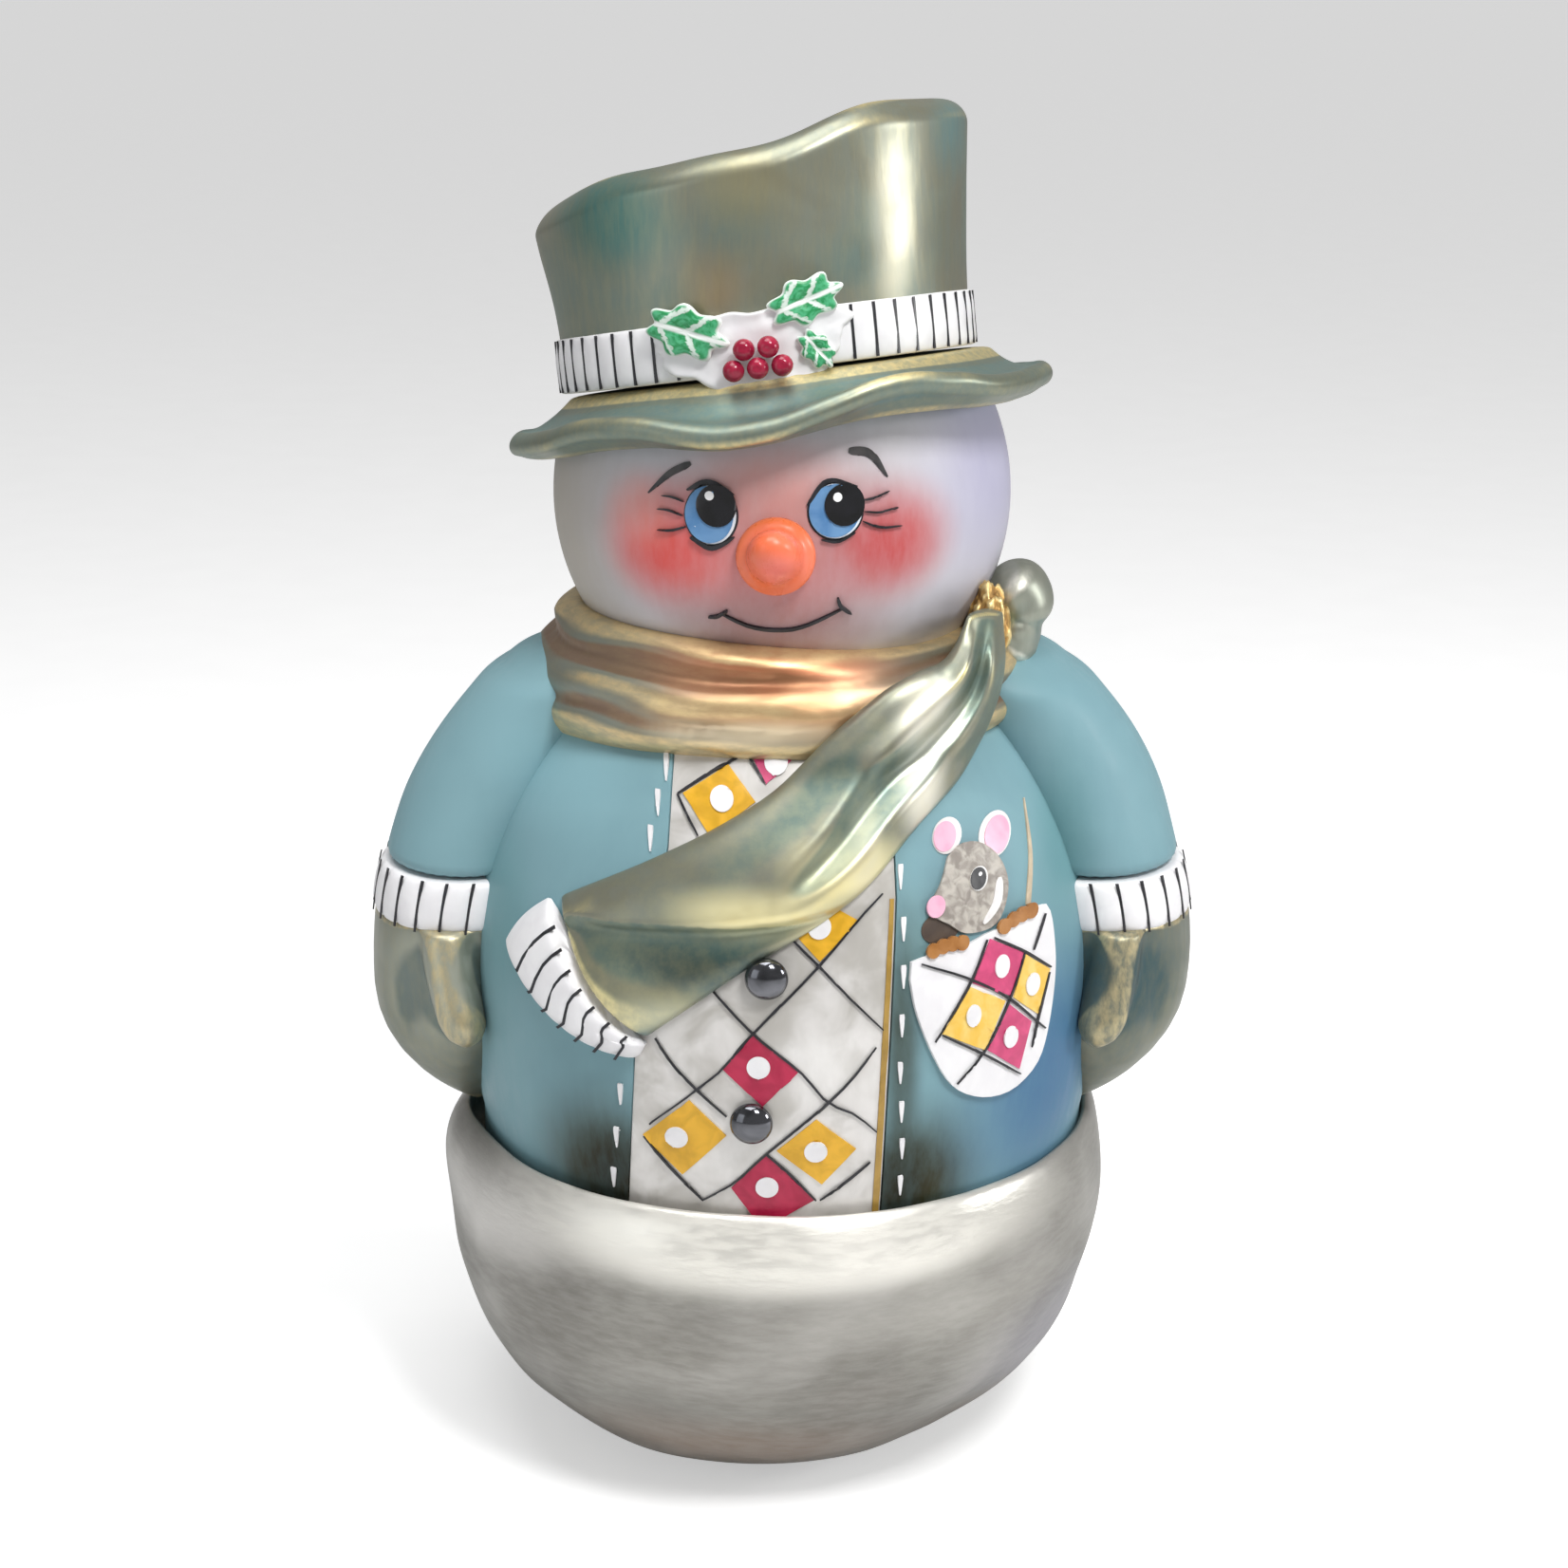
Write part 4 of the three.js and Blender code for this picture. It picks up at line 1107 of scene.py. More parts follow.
def sunk(piece, outline, depth):
    """Cuts an outline into the front of a piece and sinks the faces inside it."""
    shape = bmesh.new()
    shape.from_mesh(piece.data)
    for (ax, az), (bx, bz) in zip(outline, outline[1:] + outline[:1]):
        front = [f for f in shape.faces if f.calc_center_median().y < 0]
        parts = dict.fromkeys(front)
        for face in front:
            parts.update(dict.fromkeys([*face.verts, *face.edges]))
        across = (bz - az, 0, ax - bx)
        bmesh.ops.bisect_plane(shape, geom=list(parts), plane_co=(ax, 0, az), plane_no=across)
    middles = [(f, f.calc_center_median()) for f in shape.faces]
    inside = [f for f, m in middles if m.y < 0 and within(outline, m.x, m.z)]
    raised = bmesh.ops.extrude_face_region(shape, geom=inside)
    bmesh.ops.delete(shape, geom=inside, context="FACES")
    for part in raised["geom"]:
        if isinstance(part, bmesh.types.BMVert):
            away = Vector((part.co.x, part.co.y, 0))
            part.co -= away.normalized() * depth
    shape.to_mesh(piece.data)
    shape.free()
    return piece


def inlaid(name, outline, front, depth):
    """A skin of the coat's own form inside an outline, with a flat-cut edge."""
    shape = bmesh.new()
    shape.faces.new([shape.verts.new((x, 0, z)) for x, z in outline])
    for axis, count in ((0, 24), (2, 40)):
        cut_up(shape, axis, count)
    for vertex in shape.verts:
        vertex.co = coat_spot(vertex.co.x, vertex.co.z, front)
    piece = from_shape(name, shape)
    return modified(piece, "SOLIDIFY", thickness=depth, offset=-1)


class SNOWMAN_OT_coat(SnowmanOperator):
    """Turns the coat and sinks the opening for the shirt front into it"""

    bl_idname = "snowman.coat"
    bl_label = "Coat"

    def execute(self, context):
        coat = coat_form()
        sunk(coat, panel_outline(GAP), PANEL_DEPTH)
        creased(coat)
        done(coat, coat_paint(), "coat", "coat_body")
        return {"FINISHED"}


def in_metres(outlines):
    return [[(x * MM, z * MM) for x, z in outline] for outline in outlines]


def painted_mm(name, outlines, *others):
    """Paints outlines that are given in millimetres."""
    return painted(name, in_metres(outlines), *others)


def argyle_lines():
    """The crossing lines of the shirt's diamonds. Millimetres in front view."""
    return [
        [(17.1, 121), (12.8, 117), (6.4, 110), (-4.8, 98.4), (-10, 91.8), (-14.7, 87.3), (-23, 79.8)],
        [(-0.9, 117), (6.4, 109.7), (11.3, 104.4), (17.3, 98)],
        [(-13.6, 107.4), (-5.1, 98.4), (3.1, 91.4), (7.7, 85.7), (12.6, 82.9), (16.3, 79.2)],
        [(-21.7, 96), (-18.7, 91.6), (-14.4, 87.2), (-9.5, 82.8)],
        [(16.1, 95), (12, 89.7), (7.7, 85.3), (-2.7, 75.9), (-8.3, 69.9), (-13.7, 65.9)],
        [(-24, 77.2), (-19.6, 71.9), (-13.7, 65.8)],
        [(-2.7, 75.9), (1.6, 71.6), (5.9, 66.4)],
        [(15.3, 73.4), (10.9, 69.7), (6.6, 66.4)],
        [(-6.1, 143), (-11.9, 140), (-17.9, 136.2)],
        [(-17.9, 136.2), (-16.2, 133.2), (-14.3, 130.2)],
        [(-6.1, 143), (-3, 138.7)],
    ]


def lined(stops, width):
    return [stroke([(x * MM, z * MM) for x, z in line], width, 0.15, 0.6) for line in stops]


class SNOWMAN_OT_shirt(SnowmanOperator):
    """Inlays the silver shirt front, and paints its diamonds, lines and dots"""

    bl_idname = "snowman.shirt"
    bl_label = "Shirt front"

    def execute(self, context):
        c = colours()
        panel = inlaid("shirt_front", panel_outline(), -0.4 * MM, 2.6 * MM)
        creased(panel)
        done(panel, shirt_paint(), "silver", "shirt_panel")
        lay = front_of(panel)
        ochre = [
            [(1.3, 116.2), (7.4, 120.3), (13, 117), (6.4, 110.6)],
            [(-16, 85.3), (-9.6, 79.1), (-17.3, 70.6), (-24.2, 77.4)],
            [(5.9, 82.4), (12.8, 76.3), (6.9, 69.7), (-0.9, 76.5)],
            [(-16.9, 136.4), (-9.2, 141.2), (-4.5, 135.8), (-12.3, 130.3)],
        ]
        crimson = [
            [(-5, 98), (3, 91.6), (-3.3, 85), (-10.2, 91.6)],
            [(-2.7, 75.9), (5.8, 66.6), (0, 63), (-5, 63), (-8.8, 68.8)],
        ]
        pink = [[(-5.5, 143.1), (-0.5, 144.6), (3.5, 143.5), (-2.7, 138.5)]]
        painted_mm("ochre_diamonds", ochre, lay, flat_paint("ochre paint", c.ochre), "ochre")
        deep_red = flat_paint("crimson paint", c.crimson)
        painted_mm("crimson_diamonds", crimson, lay, deep_red, "crimson")
        painted_mm("pink_diamond", pink, lay, flat_paint("pink paint", c.pink), "crimson")
        dots = [(6.3, 116.3), (-18.2, 78), (5.8, 76.3), (-10.2, 136)]
        dots += [(-4, 92.2), (-2.6, 69.3), (-1, 141.7)]
        over = sizes().paint_depth
        spots = [disc(x, z, 2.0) for x, z in dots]
        painted_mm("diamond_dots", spots, lay, enamel_paint(), "white", 1.3 * over)
        lines = lined(argyle_lines(), sizes().line_width)
        painted("argyle_lines", lines, lay, black_line(), "ink", over * 0.8)
        strip = [(15.7, 62), (16.8, 62), (18.1, 95), (19.1, 120), (18.4, 120), (17.1, 95)]
        painted_mm("shirt_edge", [strip], lay, flat_paint("gold edge", "#9a7a34"), "gold")
        return {"FINISHED"}


class SNOWMAN_OT_buttons(SnowmanOperator):
    """Turns two domed buttons on pegs and seats them in the shirt front"""

    bl_idname = "snowman.buttons"
    bl_label = "Buttons"

    def execute(self, context):
        radius, rise = sizes().button_radius, sizes().button_rise
        for name, x, z in (("upper", -2.6, 0.508), ("lower", -5.2, 0.205)):
            dome = [
                (radius * math.cos(a), 0.18 * rise + 0.82 * rise * math.sin(a))
                for a in steps(0, 0.94 * math.pi / 2, 7)
            ]
            peg = [(0.38 * radius, -0.9 * radius), (0.38 * radius, -0.1 * rise)]
            button = turned("button_" + name + "_dome", [*peg, (0.86 * radius, 0), *dome], 40)
            rounded(button, 2)
            height = BALL_TOP + z * COAT_HEIGHT
            spot = coat_spot(x * MM, height, 0)
            facing = Vector((spot.x, spot.y, 0)).normalized()
            aimed(button, coat_spot(x * MM, height, 0.05 * MM), facing)
            done(button, button_metal(), "button", "button_" + name)
        return {"FINISHED"}


def pocket_outline():
    """The pocket in front view: a sloping top edge with a soft dip, and a round foot."""
    top = [(22.2, 109.6), (26, 110.4), (31, 110.6), (36, 112.0), (41, 112.4), (46.8, 113.4)]
    side = [(48.6, 105), (48.2, 96), (46.3, 87)]
    foot = [(43, 83.2), (39, 81.9), (34.2, 82.9), (29.8, 86), (26.4, 92), (23.2, 100.5), (22, 106.5)]
    return in_metres([top + side + foot])[0][::-1]


class SNOWMAN_OT_pocket(SnowmanOperator):
    """Models the raised pocket, and paints its checks and the mouse that looks out of it"""

    bl_idname = "snowman.pocket"
    bl_label = "Pocket and mouse"

    def execute(self, context):
        c = colours()
        over = sizes().paint_depth
        outline = [tuple(p) for p in smooth_line(pocket_outline(), 56)]
        pocket = inlaid("pocket", outline, 0.9 * MM, 1.8 * MM)
        modified(pocket, "BEVEL", width=0.35 * MM, segments=3, angle_limit=math.radians(50))
        creased(pocket, 40)
        done(pocket, enamel_paint(), "white", "pocket_patch")
        lay = front_of(pocket)
        pink = [
            [(36, 111), (42.2, 107), (40, 100), (32.9, 104.1)],
            [(39.3, 99), (43.9, 94), (41.8, 85.8), (35.8, 91.4)],
        ]
        yellow = [
            [(42.6, 106.5), (47.4, 102.1), (45.1, 94.9), (40.4, 99.6)],
            [(32.5, 103.6), (38.9, 99.5), (35.3, 91.5), (27.6, 96.3)],
        ]
        painted_mm("pocket_pink_checks", pink, lay, flat_paint("pink paint", c.pink), "crimson")
        yellow_paint = flat_paint("yellow paint", "#ecbb3c", "#f6df96")
        painted_mm("pocket_yellow_checks", yellow, lay, yellow_paint, "ochre")
        dots = [(38.1, 105.8), (43.9, 100.8), (33, 98.4), (39.9, 92.6)]
        spots = [disc(x, z, 1.3, 2.0) for x, z in dots]
        painted_mm("pocket_dots", spots, lay, enamel_paint(), "white", 1.3 * over)
        lines = [
            [(23.8, 109.1), (31.8, 105.3), (39.4, 99.8), (46.6, 91.6)],
            [(36.7, 111), (42.4, 107), (47.5, 102.4)],
            [(35.4, 111), (32.5, 104.5), (26.3, 95)],
            [(46.4, 112), (44.1, 106.7)],
            [(42.4, 106.7), (39.7, 99.7), (35.3, 91.5), (30.3, 86.4)],
            [(47.2, 101.6), (45.3, 94.7), (44.1, 89.1)],
            [(27.6, 96), (35.3, 90.6), (42, 84.8)],
        ]
        painted("pocket_lines", lined(lines, sizes().line_width), lay, black_line(), "ink", 0.8 * over)
        self.mouse(over)
        return {"FINISHED"}

    def mouse(self, over):
        fur = satin("mouse grey", "#857d76", "#c4beb4", (), 0.5, 500.0, 0.8)
        pale = flat_paint("mouse white", "#dcdad8", "#f4f3f2")
        rose = flat_paint("mouse pink", "#e7a2bd", "#f0c4d4")
        dark = flat_paint("mouse shade", "#4a3f38", "#6a5a4c")
        brown = flat_paint("mouse paws", "#96602a", "#c08a52")
        soft = flat_paint("mouse cheek", "#cbc8c6")
        straw = flat_paint("mouse tail", "#b8a890")
        head = [(28.4, 125.4), (30.8, 127), (34.3, 126.4), (37.6, 123.4), (39.2, 119.2), (38.4, 115)]
        head += [(36.2, 112.6), (31.5, 112.6), (28.6, 114.6), (25.6, 116.6), (25.4, 118.6), (27.2, 121.6)]
        face = [tuple(p) for p in smooth_line([*head, head[0]], 40)][:-1]
        cheek = stroke([(37.8, 120.4), (37.2, 116.5), (34.8, 113.6)], 1.8, 0.2, 0.3)
        tail = stroke([(43.2, 114.2), (43.8, 122), (42.9, 130.6)], 1.1, 0.8, 0.8)
        paws = []
        for x, z, tilt in ((28.3, 111.2, 0.15), (41, 112.9, 0.35)):
            for i in (-1.5, -0.5, 0.5, 1.5):
                paws.append(disc(x + 1.7 * i, z + tilt * i + 0.4 * math.cos(i), 1.15, 1.3, 16))
        ears = [disc(28.4, 128.6, 2.6, 2.8), disc(37.1, 127, 3.0, 3.5)]
        linings = [disc(28.0, 128.6, 2.0, 2.3), disc(37.5, 126.9, 2.3, 2.9)]
        parts = (
            ("ears", ears, pale, "mouse", 0.0, over),
            ("ear_linings", linings, rose, "nose", over, over),
            ("head", [face], fur, "mouse", 0.6 * over, 0.5 * MM),
            ("cheek", [cheek], soft, "mouse", 0.55 * MM, 0.25 * MM),
            ("nose", [disc(26.3, 118, 1.6, 1.8)], rose, "nose", 0.5 * MM, 0.4 * MM),
            ("eye_rim", [disc(34.0, 121.1, 1.6, 1.95)], pale, "mouse", 0.62 * MM, over),
            ("eye", [disc(33.9, 121.2, 1.4, 1.75)], black_line(), "ink", 0.8 * MM, over),
            ("glint", [disc(34.3, 121.9, 0.32)], enamel_paint(), "white", 1.0 * MM, 0.1 * MM),
            ("shade", [disc(27.2, 114.2, 3.4, 2.6)], dark, "mouse", 0.0, 0.15 * MM),
            ("paws", paws, brown, "mouse", 0.9 * MM, 0.6 * MM),
            ("tail", [tail], straw, "mouse", 0.0, over),
        )
        for name, shapes, finish, slot, out, depth in parts:
            painted_mm("mouse_" + name, shapes, coat_spot, finish, slot, out, depth)


class SNOWMAN_OT_stitches(SnowmanOperator):
    """Paints the white stitches beside the coat's opening"""

    bl_idname = "snowman.stitches"
    bl_label = "Stitches"

    def execute(self, context):
        left = [(-19.9, 140), (-21.3, 134.6), (-22.5, 129.1), (-28, 84.6), (-28.9, 76), (-29.6, 67.6)]
        right = [(20.2, 123.4), (20.7, 115), (20.7, 107), (20.5, 98.5)]
        right += [(20.3, 90), (20.6, 82.6), (20.8, 75.4), (20.6, 68)]
        long = sizes().stitch_length
        marks = []
        for x, z in left + right:
            top, foot = (x * MM, z * MM + long / 2), (x * MM, z * MM - long / 2)
            marks.append(stroke([top, foot], 1.05 * MM, 0.75, 0.75, 8))
        coat = bpy.data.objects["coat"]
        painted("stitches", marks, front_of(coat), enamel_paint(), "white", 0.0, 0.35 * MM)
        return {"FINISHED"}


def sleeve_fold(side):
    """Softens a sleeve with the shallow folds that run down from the shoulder."""

    def move(v):
        middle, wide, deep = arm_ring(side, v.z, 1)
        way = math.atan2((v.y - middle.y) / deep, side * (v.x - middle.x) / wide)
        fold = 0.35 * MM * math.sin(3 * way + 9 * (v.z - CUFF_TOP) / COAT_HEIGHT)
        out = Vector((v.x - middle.x, v.y - middle.y, 0))
        fade = ramp(v.z, CUFF_TOP, CUFF_TOP + 14 * MM) * (1 - ramp(v.z, COAT_TOP - 8 * MM, COAT_TOP))
        return v + out.normalized() * fold * fade if out.length > 1e-6 else v

    return move


class SNOWMAN_OT_sleeves(SnowmanOperator):
    """Draws up the two sleeves that hug the coat"""

    bl_idname = "snowman.sleeves"
    bl_label = "Sleeves"

    def execute(self, context):
        for side, name in ((-1, "left"), (1, "right")):
            heights = steps(CUFF_TOP - 1 * MM, COAT_TOP - 4 * MM, 9)
            heights += steps(COAT_TOP - 3 * MM, COAT_TOP + 4.9 * MM, 8)
            shrink = GAP / ARM_STANDOUT
            rings = [arm_ring(side, z, arm_scale(z) - shrink) for z in heights]
            sleeve = drawn_up(name + "_arm", rings, 40)
            rounded(sleeve, 2)
            moulded(sleeve, sleeve_fold(side))
            done(sleeve, coat_paint(), "coat", name + "_sleeve")
        return {"FINISHED"}


class SNOWMAN_OT_cuffs(SnowmanOperator):
    """Models the ribbed white cuffs and the black lines between their ribs"""

    bl_idname = "snowman.cuffs"
    bl_label = "Cuffs"

    def execute(self, context):
        ribs = CUFF_RIBS
        for side, name in ((-1, "left"), (1, "right")):
            rows = [(0, -1.2), (0.03, 0.1), (0.2, 0.6), (0.5, 0.7), (0.8, 0.6), (0.97, 0.1), (1, -1.2)]
            rings = []
            for t, out in rows:
                z = CUFF_LOW + t * (CUFF_TOP - CUFF_LOW)
                rings.append(arm_ring(side, z, 1 + out * MM / ARM_STANDOUT))
            cuff = drawn_up(name + "_knit_cuff", rings, 88)
            rounded(cuff, 2)

            def ribbed(v, side=side):
                middle, wide, deep = arm_ring(side, v.z, 1)
                way = math.atan2((v.y - middle.y) / deep, (v.x - middle.x) / wide)
                groove = abs(math.sin(ribs * way / 2)) ** 0.4
                out = Vector((v.x - middle.x, v.y - middle.y, 0)).normalized()
                return v + out * (groove - 0.8) * 0.45 * MM

            moulded(cuff, ribbed)
            done(cuff, enamel_paint(), "white", name + "_cuff")

            def lay(way, z, out, side=side):
                middle, wide, deep = arm_ring(side, z, 1)
                at = Vector((wide * math.cos(way), deep * math.sin(way), 0))
                return middle + at + at.normalized() * (0.42 * MM + out)

            lines = []
            for i in range(ribs):
                way = 2 * math.pi * i / ribs - math.pi
                if side * math.cos(way) < -0.35:
                    continue
                lines.append(rib_line(way, CUFF_LOW + 0.1 * MM, CUFF_TOP - 0.1 * MM, 0.012, 0.018))
            painted(name + "_cuff_lines", lines, lay, black_line(), "ink", 0.0, 0.2 * MM, 3 * MM)
        return {"FINISHED"}


class SNOWMAN_OT_mittens(SnowmanOperator):
    """Carves the mittens, each with a thumb laid along the coat"""

    bl_idname = "snowman.mittens"
    bl_label = "Mittens"

    def execute(self, context):
        for side, name in ((-1, "left"), (1, "right")):
            tip = BALL_TOP + 0.6 * MM
            heights = steps(tip, tip + 6 * MM, 7) + steps(tip + 8 * MM, CUFF_LOW + 1 * MM, 8)
            hand = drawn_up("hand", [arm_ring(side, z, arm_scale(z)) for z in heights], 40)
            top = CUFF_LOW + 0.5 * MM
            x = coat_radius(top) + 0.5 * MM
            stops = [
                (side * (x + 1.5 * MM), -ARM_FORWARD - ARM_DEPTH + 3.5 * MM, top),
                (side * (x + 0.5 * MM), -ARM_FORWARD - ARM_DEPTH + 0.5 * MM, top - 8 * MM),
                (side * (x - 1.5 * MM), -ARM_FORWARD - ARM_DEPTH - 2.2 * MM, top - 16 * MM),
                (side * (x - 2.5 * MM), -ARM_FORWARD - ARM_DEPTH - 3.0 * MM, top - 21 * MM),
            ]
            rings = []
            for i, spot in enumerate(smooth_line(stops, 12)):
                t = i / 12
                r = (4.9 - 0.5 * t) * MM * math.sqrt(max(1 - max((t - 0.72) / 0.28, 0) ** 2, 0.02))
                rings.append((spot, r, r))
            thumb = drawn_up("thumb", rings[::-1], 24)
            mitten = joined(name + "_hand", [hand, thumb])
            carved(mitten, 0.65 * MM, 8)

            def hollowed(v, side=side):
                beside = Vector((side * (coat_radius(v.z) + 9 * MM), -ARM_FORWARD - ARM_DEPTH + 3 * MM))
                reach = math.hypot((v.x - beside.x) / (3.6 * MM), (v.y - beside.y) / (7 * MM))
                deep = 1.9 * MM * math.exp(-reach * reach) * bump(v.z, CUFF_LOW - 15 * MM, 9 * MM)
                return v + Vector((0, deep, 0))

            moulded(mitten, hollowed)
            marked(mitten, 120, 1.2 * MM)
            done(mitten, mitten_paint(), "pewter", name + "_mitten")
        return {"FINISHED"}


def full_cheeks(v):
    """The cheeks are a little fuller than a ball."""
    front = ramp(-v.y, 0, HEAD_RADIUS)
    cheek = bump(abs(v.x), 17 * MM, 12 * MM) * bump(v.z, HEAD_Z - 7 * MM, 11 * MM)
    full = 1 + 0.9 * MM * front * cheek / HEAD_RADIUS
    return Vector((v.x * full, v.y * full, v.z))


def cut_away(piece, spot, facing, outer):
    """Bisects a piece in edit mode, throws one side away and fills the cut."""
    only(piece)
    bpy.ops.object.mode_set(mode="EDIT")
    bpy.ops.mesh.select_all(action="SELECT")
    sides = {"clear_outer": outer, "clear_inner": not outer}
    bpy.ops.mesh.bisect(plane_co=spot, plane_no=facing, use_fill=True, **sides)
    bpy.ops.object.mode_set(mode="OBJECT")
    return piece


class SNOWMAN_OT_head(SnowmanOperator):
    """Turns the head, flattens its foot and cuts it to the slope of the hat"""

    bl_idname = "snowman.head"
    bl_label = "Head"

    def execute(self, context):
        nothing_selected()
        bpy.ops.mesh.primitive_uv_sphere_add(
            segments=128, ring_count=80, radius=HEAD_RADIUS, location=(0, 0, HEAD_Z)
        )
        head = fresh("snow_head")
        moulded(head, full_cheeks)
        cut_away(head, (0, 0, HEAD_BASE), (0, 0, 1), False)
        slope = Vector((-HAT_TILT, HAT_BACK, 1)).normalized()
        cut_away(head, (HAT_X, 0, HAT_Z), slope, True)
        creased(head, 40)
        done(head, face_paint(), "face", "head")
        return {"FINISHED"}


class SNOWMAN_OT_nose(SnowmanOperator):
    """Turns the round nose with its collar"""

    bl_idname = "snowman.nose"
    bl_label = "Nose"

    def execute(self, context):
        radius, rise = sizes().nose_radius, sizes().nose_rise
        collar = [(0.4, -5), (0.96, -2), (1, -0.6), (1, 0.5), (0.93, 1.1), (0.84, 1.5)]
        ball = [
            (0.72 * radius * math.cos(a) ** 0.9, 1.7 * MM + (rise - 1.7 * MM) * math.sin(a))
            for a in steps(0.06, 0.96 * math.pi / 2, 9)
        ]
        nose = turned("round_nose", [(r * radius, h * MM) for r, h in collar] + ball, 40)
        rounded(nose, 2)

        def droop(v):
            up = max(v.z - 1 * MM, 0) / rise
            return Vector((v.x - 0.3 * MM * up, v.y + 3.9 * MM * up, v.z))

        moulded(nose, droop)
        facing = Vector((-0.025, -1, -0.09)).normalized()
        aimed(nose, Vector((0, 0, HEAD_Z)) + facing * (HEAD_RADIUS + 0.6 * MM), facing)
        done(nose, nose_paint(), "nose", "nose")
        return {"FINISHED"}


def eye_black():
    def fill(tree):
        marks = placed(tree, brush_marks(), Stretch=(1, 1, 1), Scale=500.0, Patch=300.0)
        return {
            "Base Color": mixed(tree, marks.outputs["Patches"], "#0b0b0d", "#15151a"),
            "Roughness": fitted(tree, marks.outputs["Streaks"], 0.0, 1.0, 0.08, 0.14),
        }

    return finished("eye black", fill, Coat_Weight=1.0)


class SNOWMAN_OT_face(SnowmanOperator):
    """Paints the eyes, lashes, brows and smile on the head"""

    bl_idname = "snowman.face"
    bl_label = "Face"

    def execute(self, context):
        c = colours()
        lay = front_of(bpy.data.objects["snow_head"])
        ink = black_line()
        blue = satin("iris blue", c.iris, "#79a5cf", rough=0.6, patch=220.0, strength=0.6)
        white = flat_paint("eye white", "#e4ecf4", "#ffffff")
        eyes = [(-11.9, 184.1, 4.6, 5.2), (9.0, 184.9, 4.8, 4.9)]
        rims, whites, irises = [], [], []
        for x, z, across, up in eyes:
            rims.append(disc(x, z, across, up, 40))
            whites.append(disc(x, z, across - 0.35, up - 0.35, 40))
            irises.append(disc(x - 0.25, z + 0.05, across - 0.55, up - 0.5, 40))
        depth = 0.14 * MM
        painted_mm("eye_rims", rims, lay, ink, "ink", 0.0, depth)
        painted_mm("eye_whites", whites, lay, white, "white", 0.14 * MM, depth)
        painted_mm("irises", irises, lay, blue, "iris", 0.36 * MM, depth)
        pupils = [disc(-10.9, 185.7, 3.35, 3.5, 36), disc(10.4, 185.9, 3.35, 3.5, 36)]
        painted_mm("pupils", pupils, lay, eye_black(), "ink", 0.5 * MM, 0.25 * MM)
        glints = [disc(-12.0, 187.3, 0.75), disc(9.2, 187.2, 0.75)]
        shine = flat_paint("glint", "#ffffff")
        painted_mm("catch_lights", glints, lay, shine, "white", 0.74 * MM, 0.12 * MM)
        lines = [
            ([(-16.6, 186), (-18.4, 186.6), (-20.2, 186.7)], 0.4),
            ([(-16.7, 183.7), (-19, 184.4), (-21, 184.4)], 0.4),
            ([(-16.2, 181.9), (-18.6, 181.1), (-21.1, 180.9)], 0.5),
            ([(13.7, 186.5), (16, 186.9), (18, 187.7)], 0.4),
            ([(13.9, 184.6), (16.6, 184.3), (19.6, 184.9)], 0.4),
            ([(13.6, 183), (16.4, 181.8), (20.2, 181.7)], 0.45),
            ([(-15.9, 188), (-12.2, 189.6), (-8, 187.6)], 0.8),
            ([(-15.4, 180.2), (-11.6, 178.6), (-8, 180.6)], 0.9),
            ([(4.2, 186), (7.5, 189.9), (12.6, 188.8)], 0.8),
            ([(6.6, 180.2), (9.4, 179.8), (12.3, 181.2)], 0.5),
            ([(-10.1, 166.7), (-5.7, 164.6), (-1.1, 163.9), (3.5, 164.5), (10.2, 167.7)], 0.62),
            ([(-12.5, 166), (-10.9, 166.3), (-9.3, 167.5)], 0.6),
            ([(9.5, 169.8), (10, 168.2), (11.8, 166.7)], 0.75),
        ]
        strokes = [stroke(stops, width, 0.2, 0.35) for stops, width in lines]
        painted_mm("lashes_and_smile", strokes, lay, ink, "ink", 0.05 * MM, 0.5 * MM)
        left = [(-15.4, 192.4), (-19, 190.4), (-22.7, 186.9)]
        right = [(11.2, 194.7), (14.9, 193.9), (17.8, 190)]
        brows = [stroke(left, 1.5, 0.7, 0.4), stroke(right, 1.9, 0.7, 0.4)]
        charcoal = flat_paint("brow", "#2c2b2e", "#5a5654")
        painted_mm("brows", brows, lay, charcoal, "ink", 0.0, 0.2 * MM)
        return {"FINISHED"}


def wrap_roll(radius, roll, height, spread, wave):
    """One twisted roll of the scarf round the neck. Spread lifts it on the left side."""
    nothing_selected()
    bpy.ops.mesh.primitive_torus_add(
        major_segments=140, minor_segments=32, major_radius=radius, minor_radius=roll, location=(0, 0, 0)
    )
    piece = fresh("roll")

    def twisted(v):
        a = math.atan2(v.y, v.x)
        swell = 1 + 0.08 * math.sin(3 * a + wave)
        out = (math.hypot(v.x, v.y) - radius) * swell
        minor = math.atan2(v.z, out)
        crease = 0.45 * MM * math.sin(4 * a + 2.5 * minor + wave)
        crease += 0.25 * MM * math.sin(9 * a - 3 * minor)
        reach = radius + out * (1 + crease / roll)
        up = height + 0.8 * MM * math.sin(2 * a + 1.3 * wave) - spread * math.cos(a) + v.z * swell
        return Vector((reach * math.cos(a) - 0.8 * MM, reach * math.sin(a), up))

    return moulded(piece, twisted)


def knot_place():
    wide, deep, tall = KNOT_HALF
    return Vector((WRAP_RADIUS + 0.6 * wide, -0.85 * deep, COAT_TOP + 1.1 * tall))


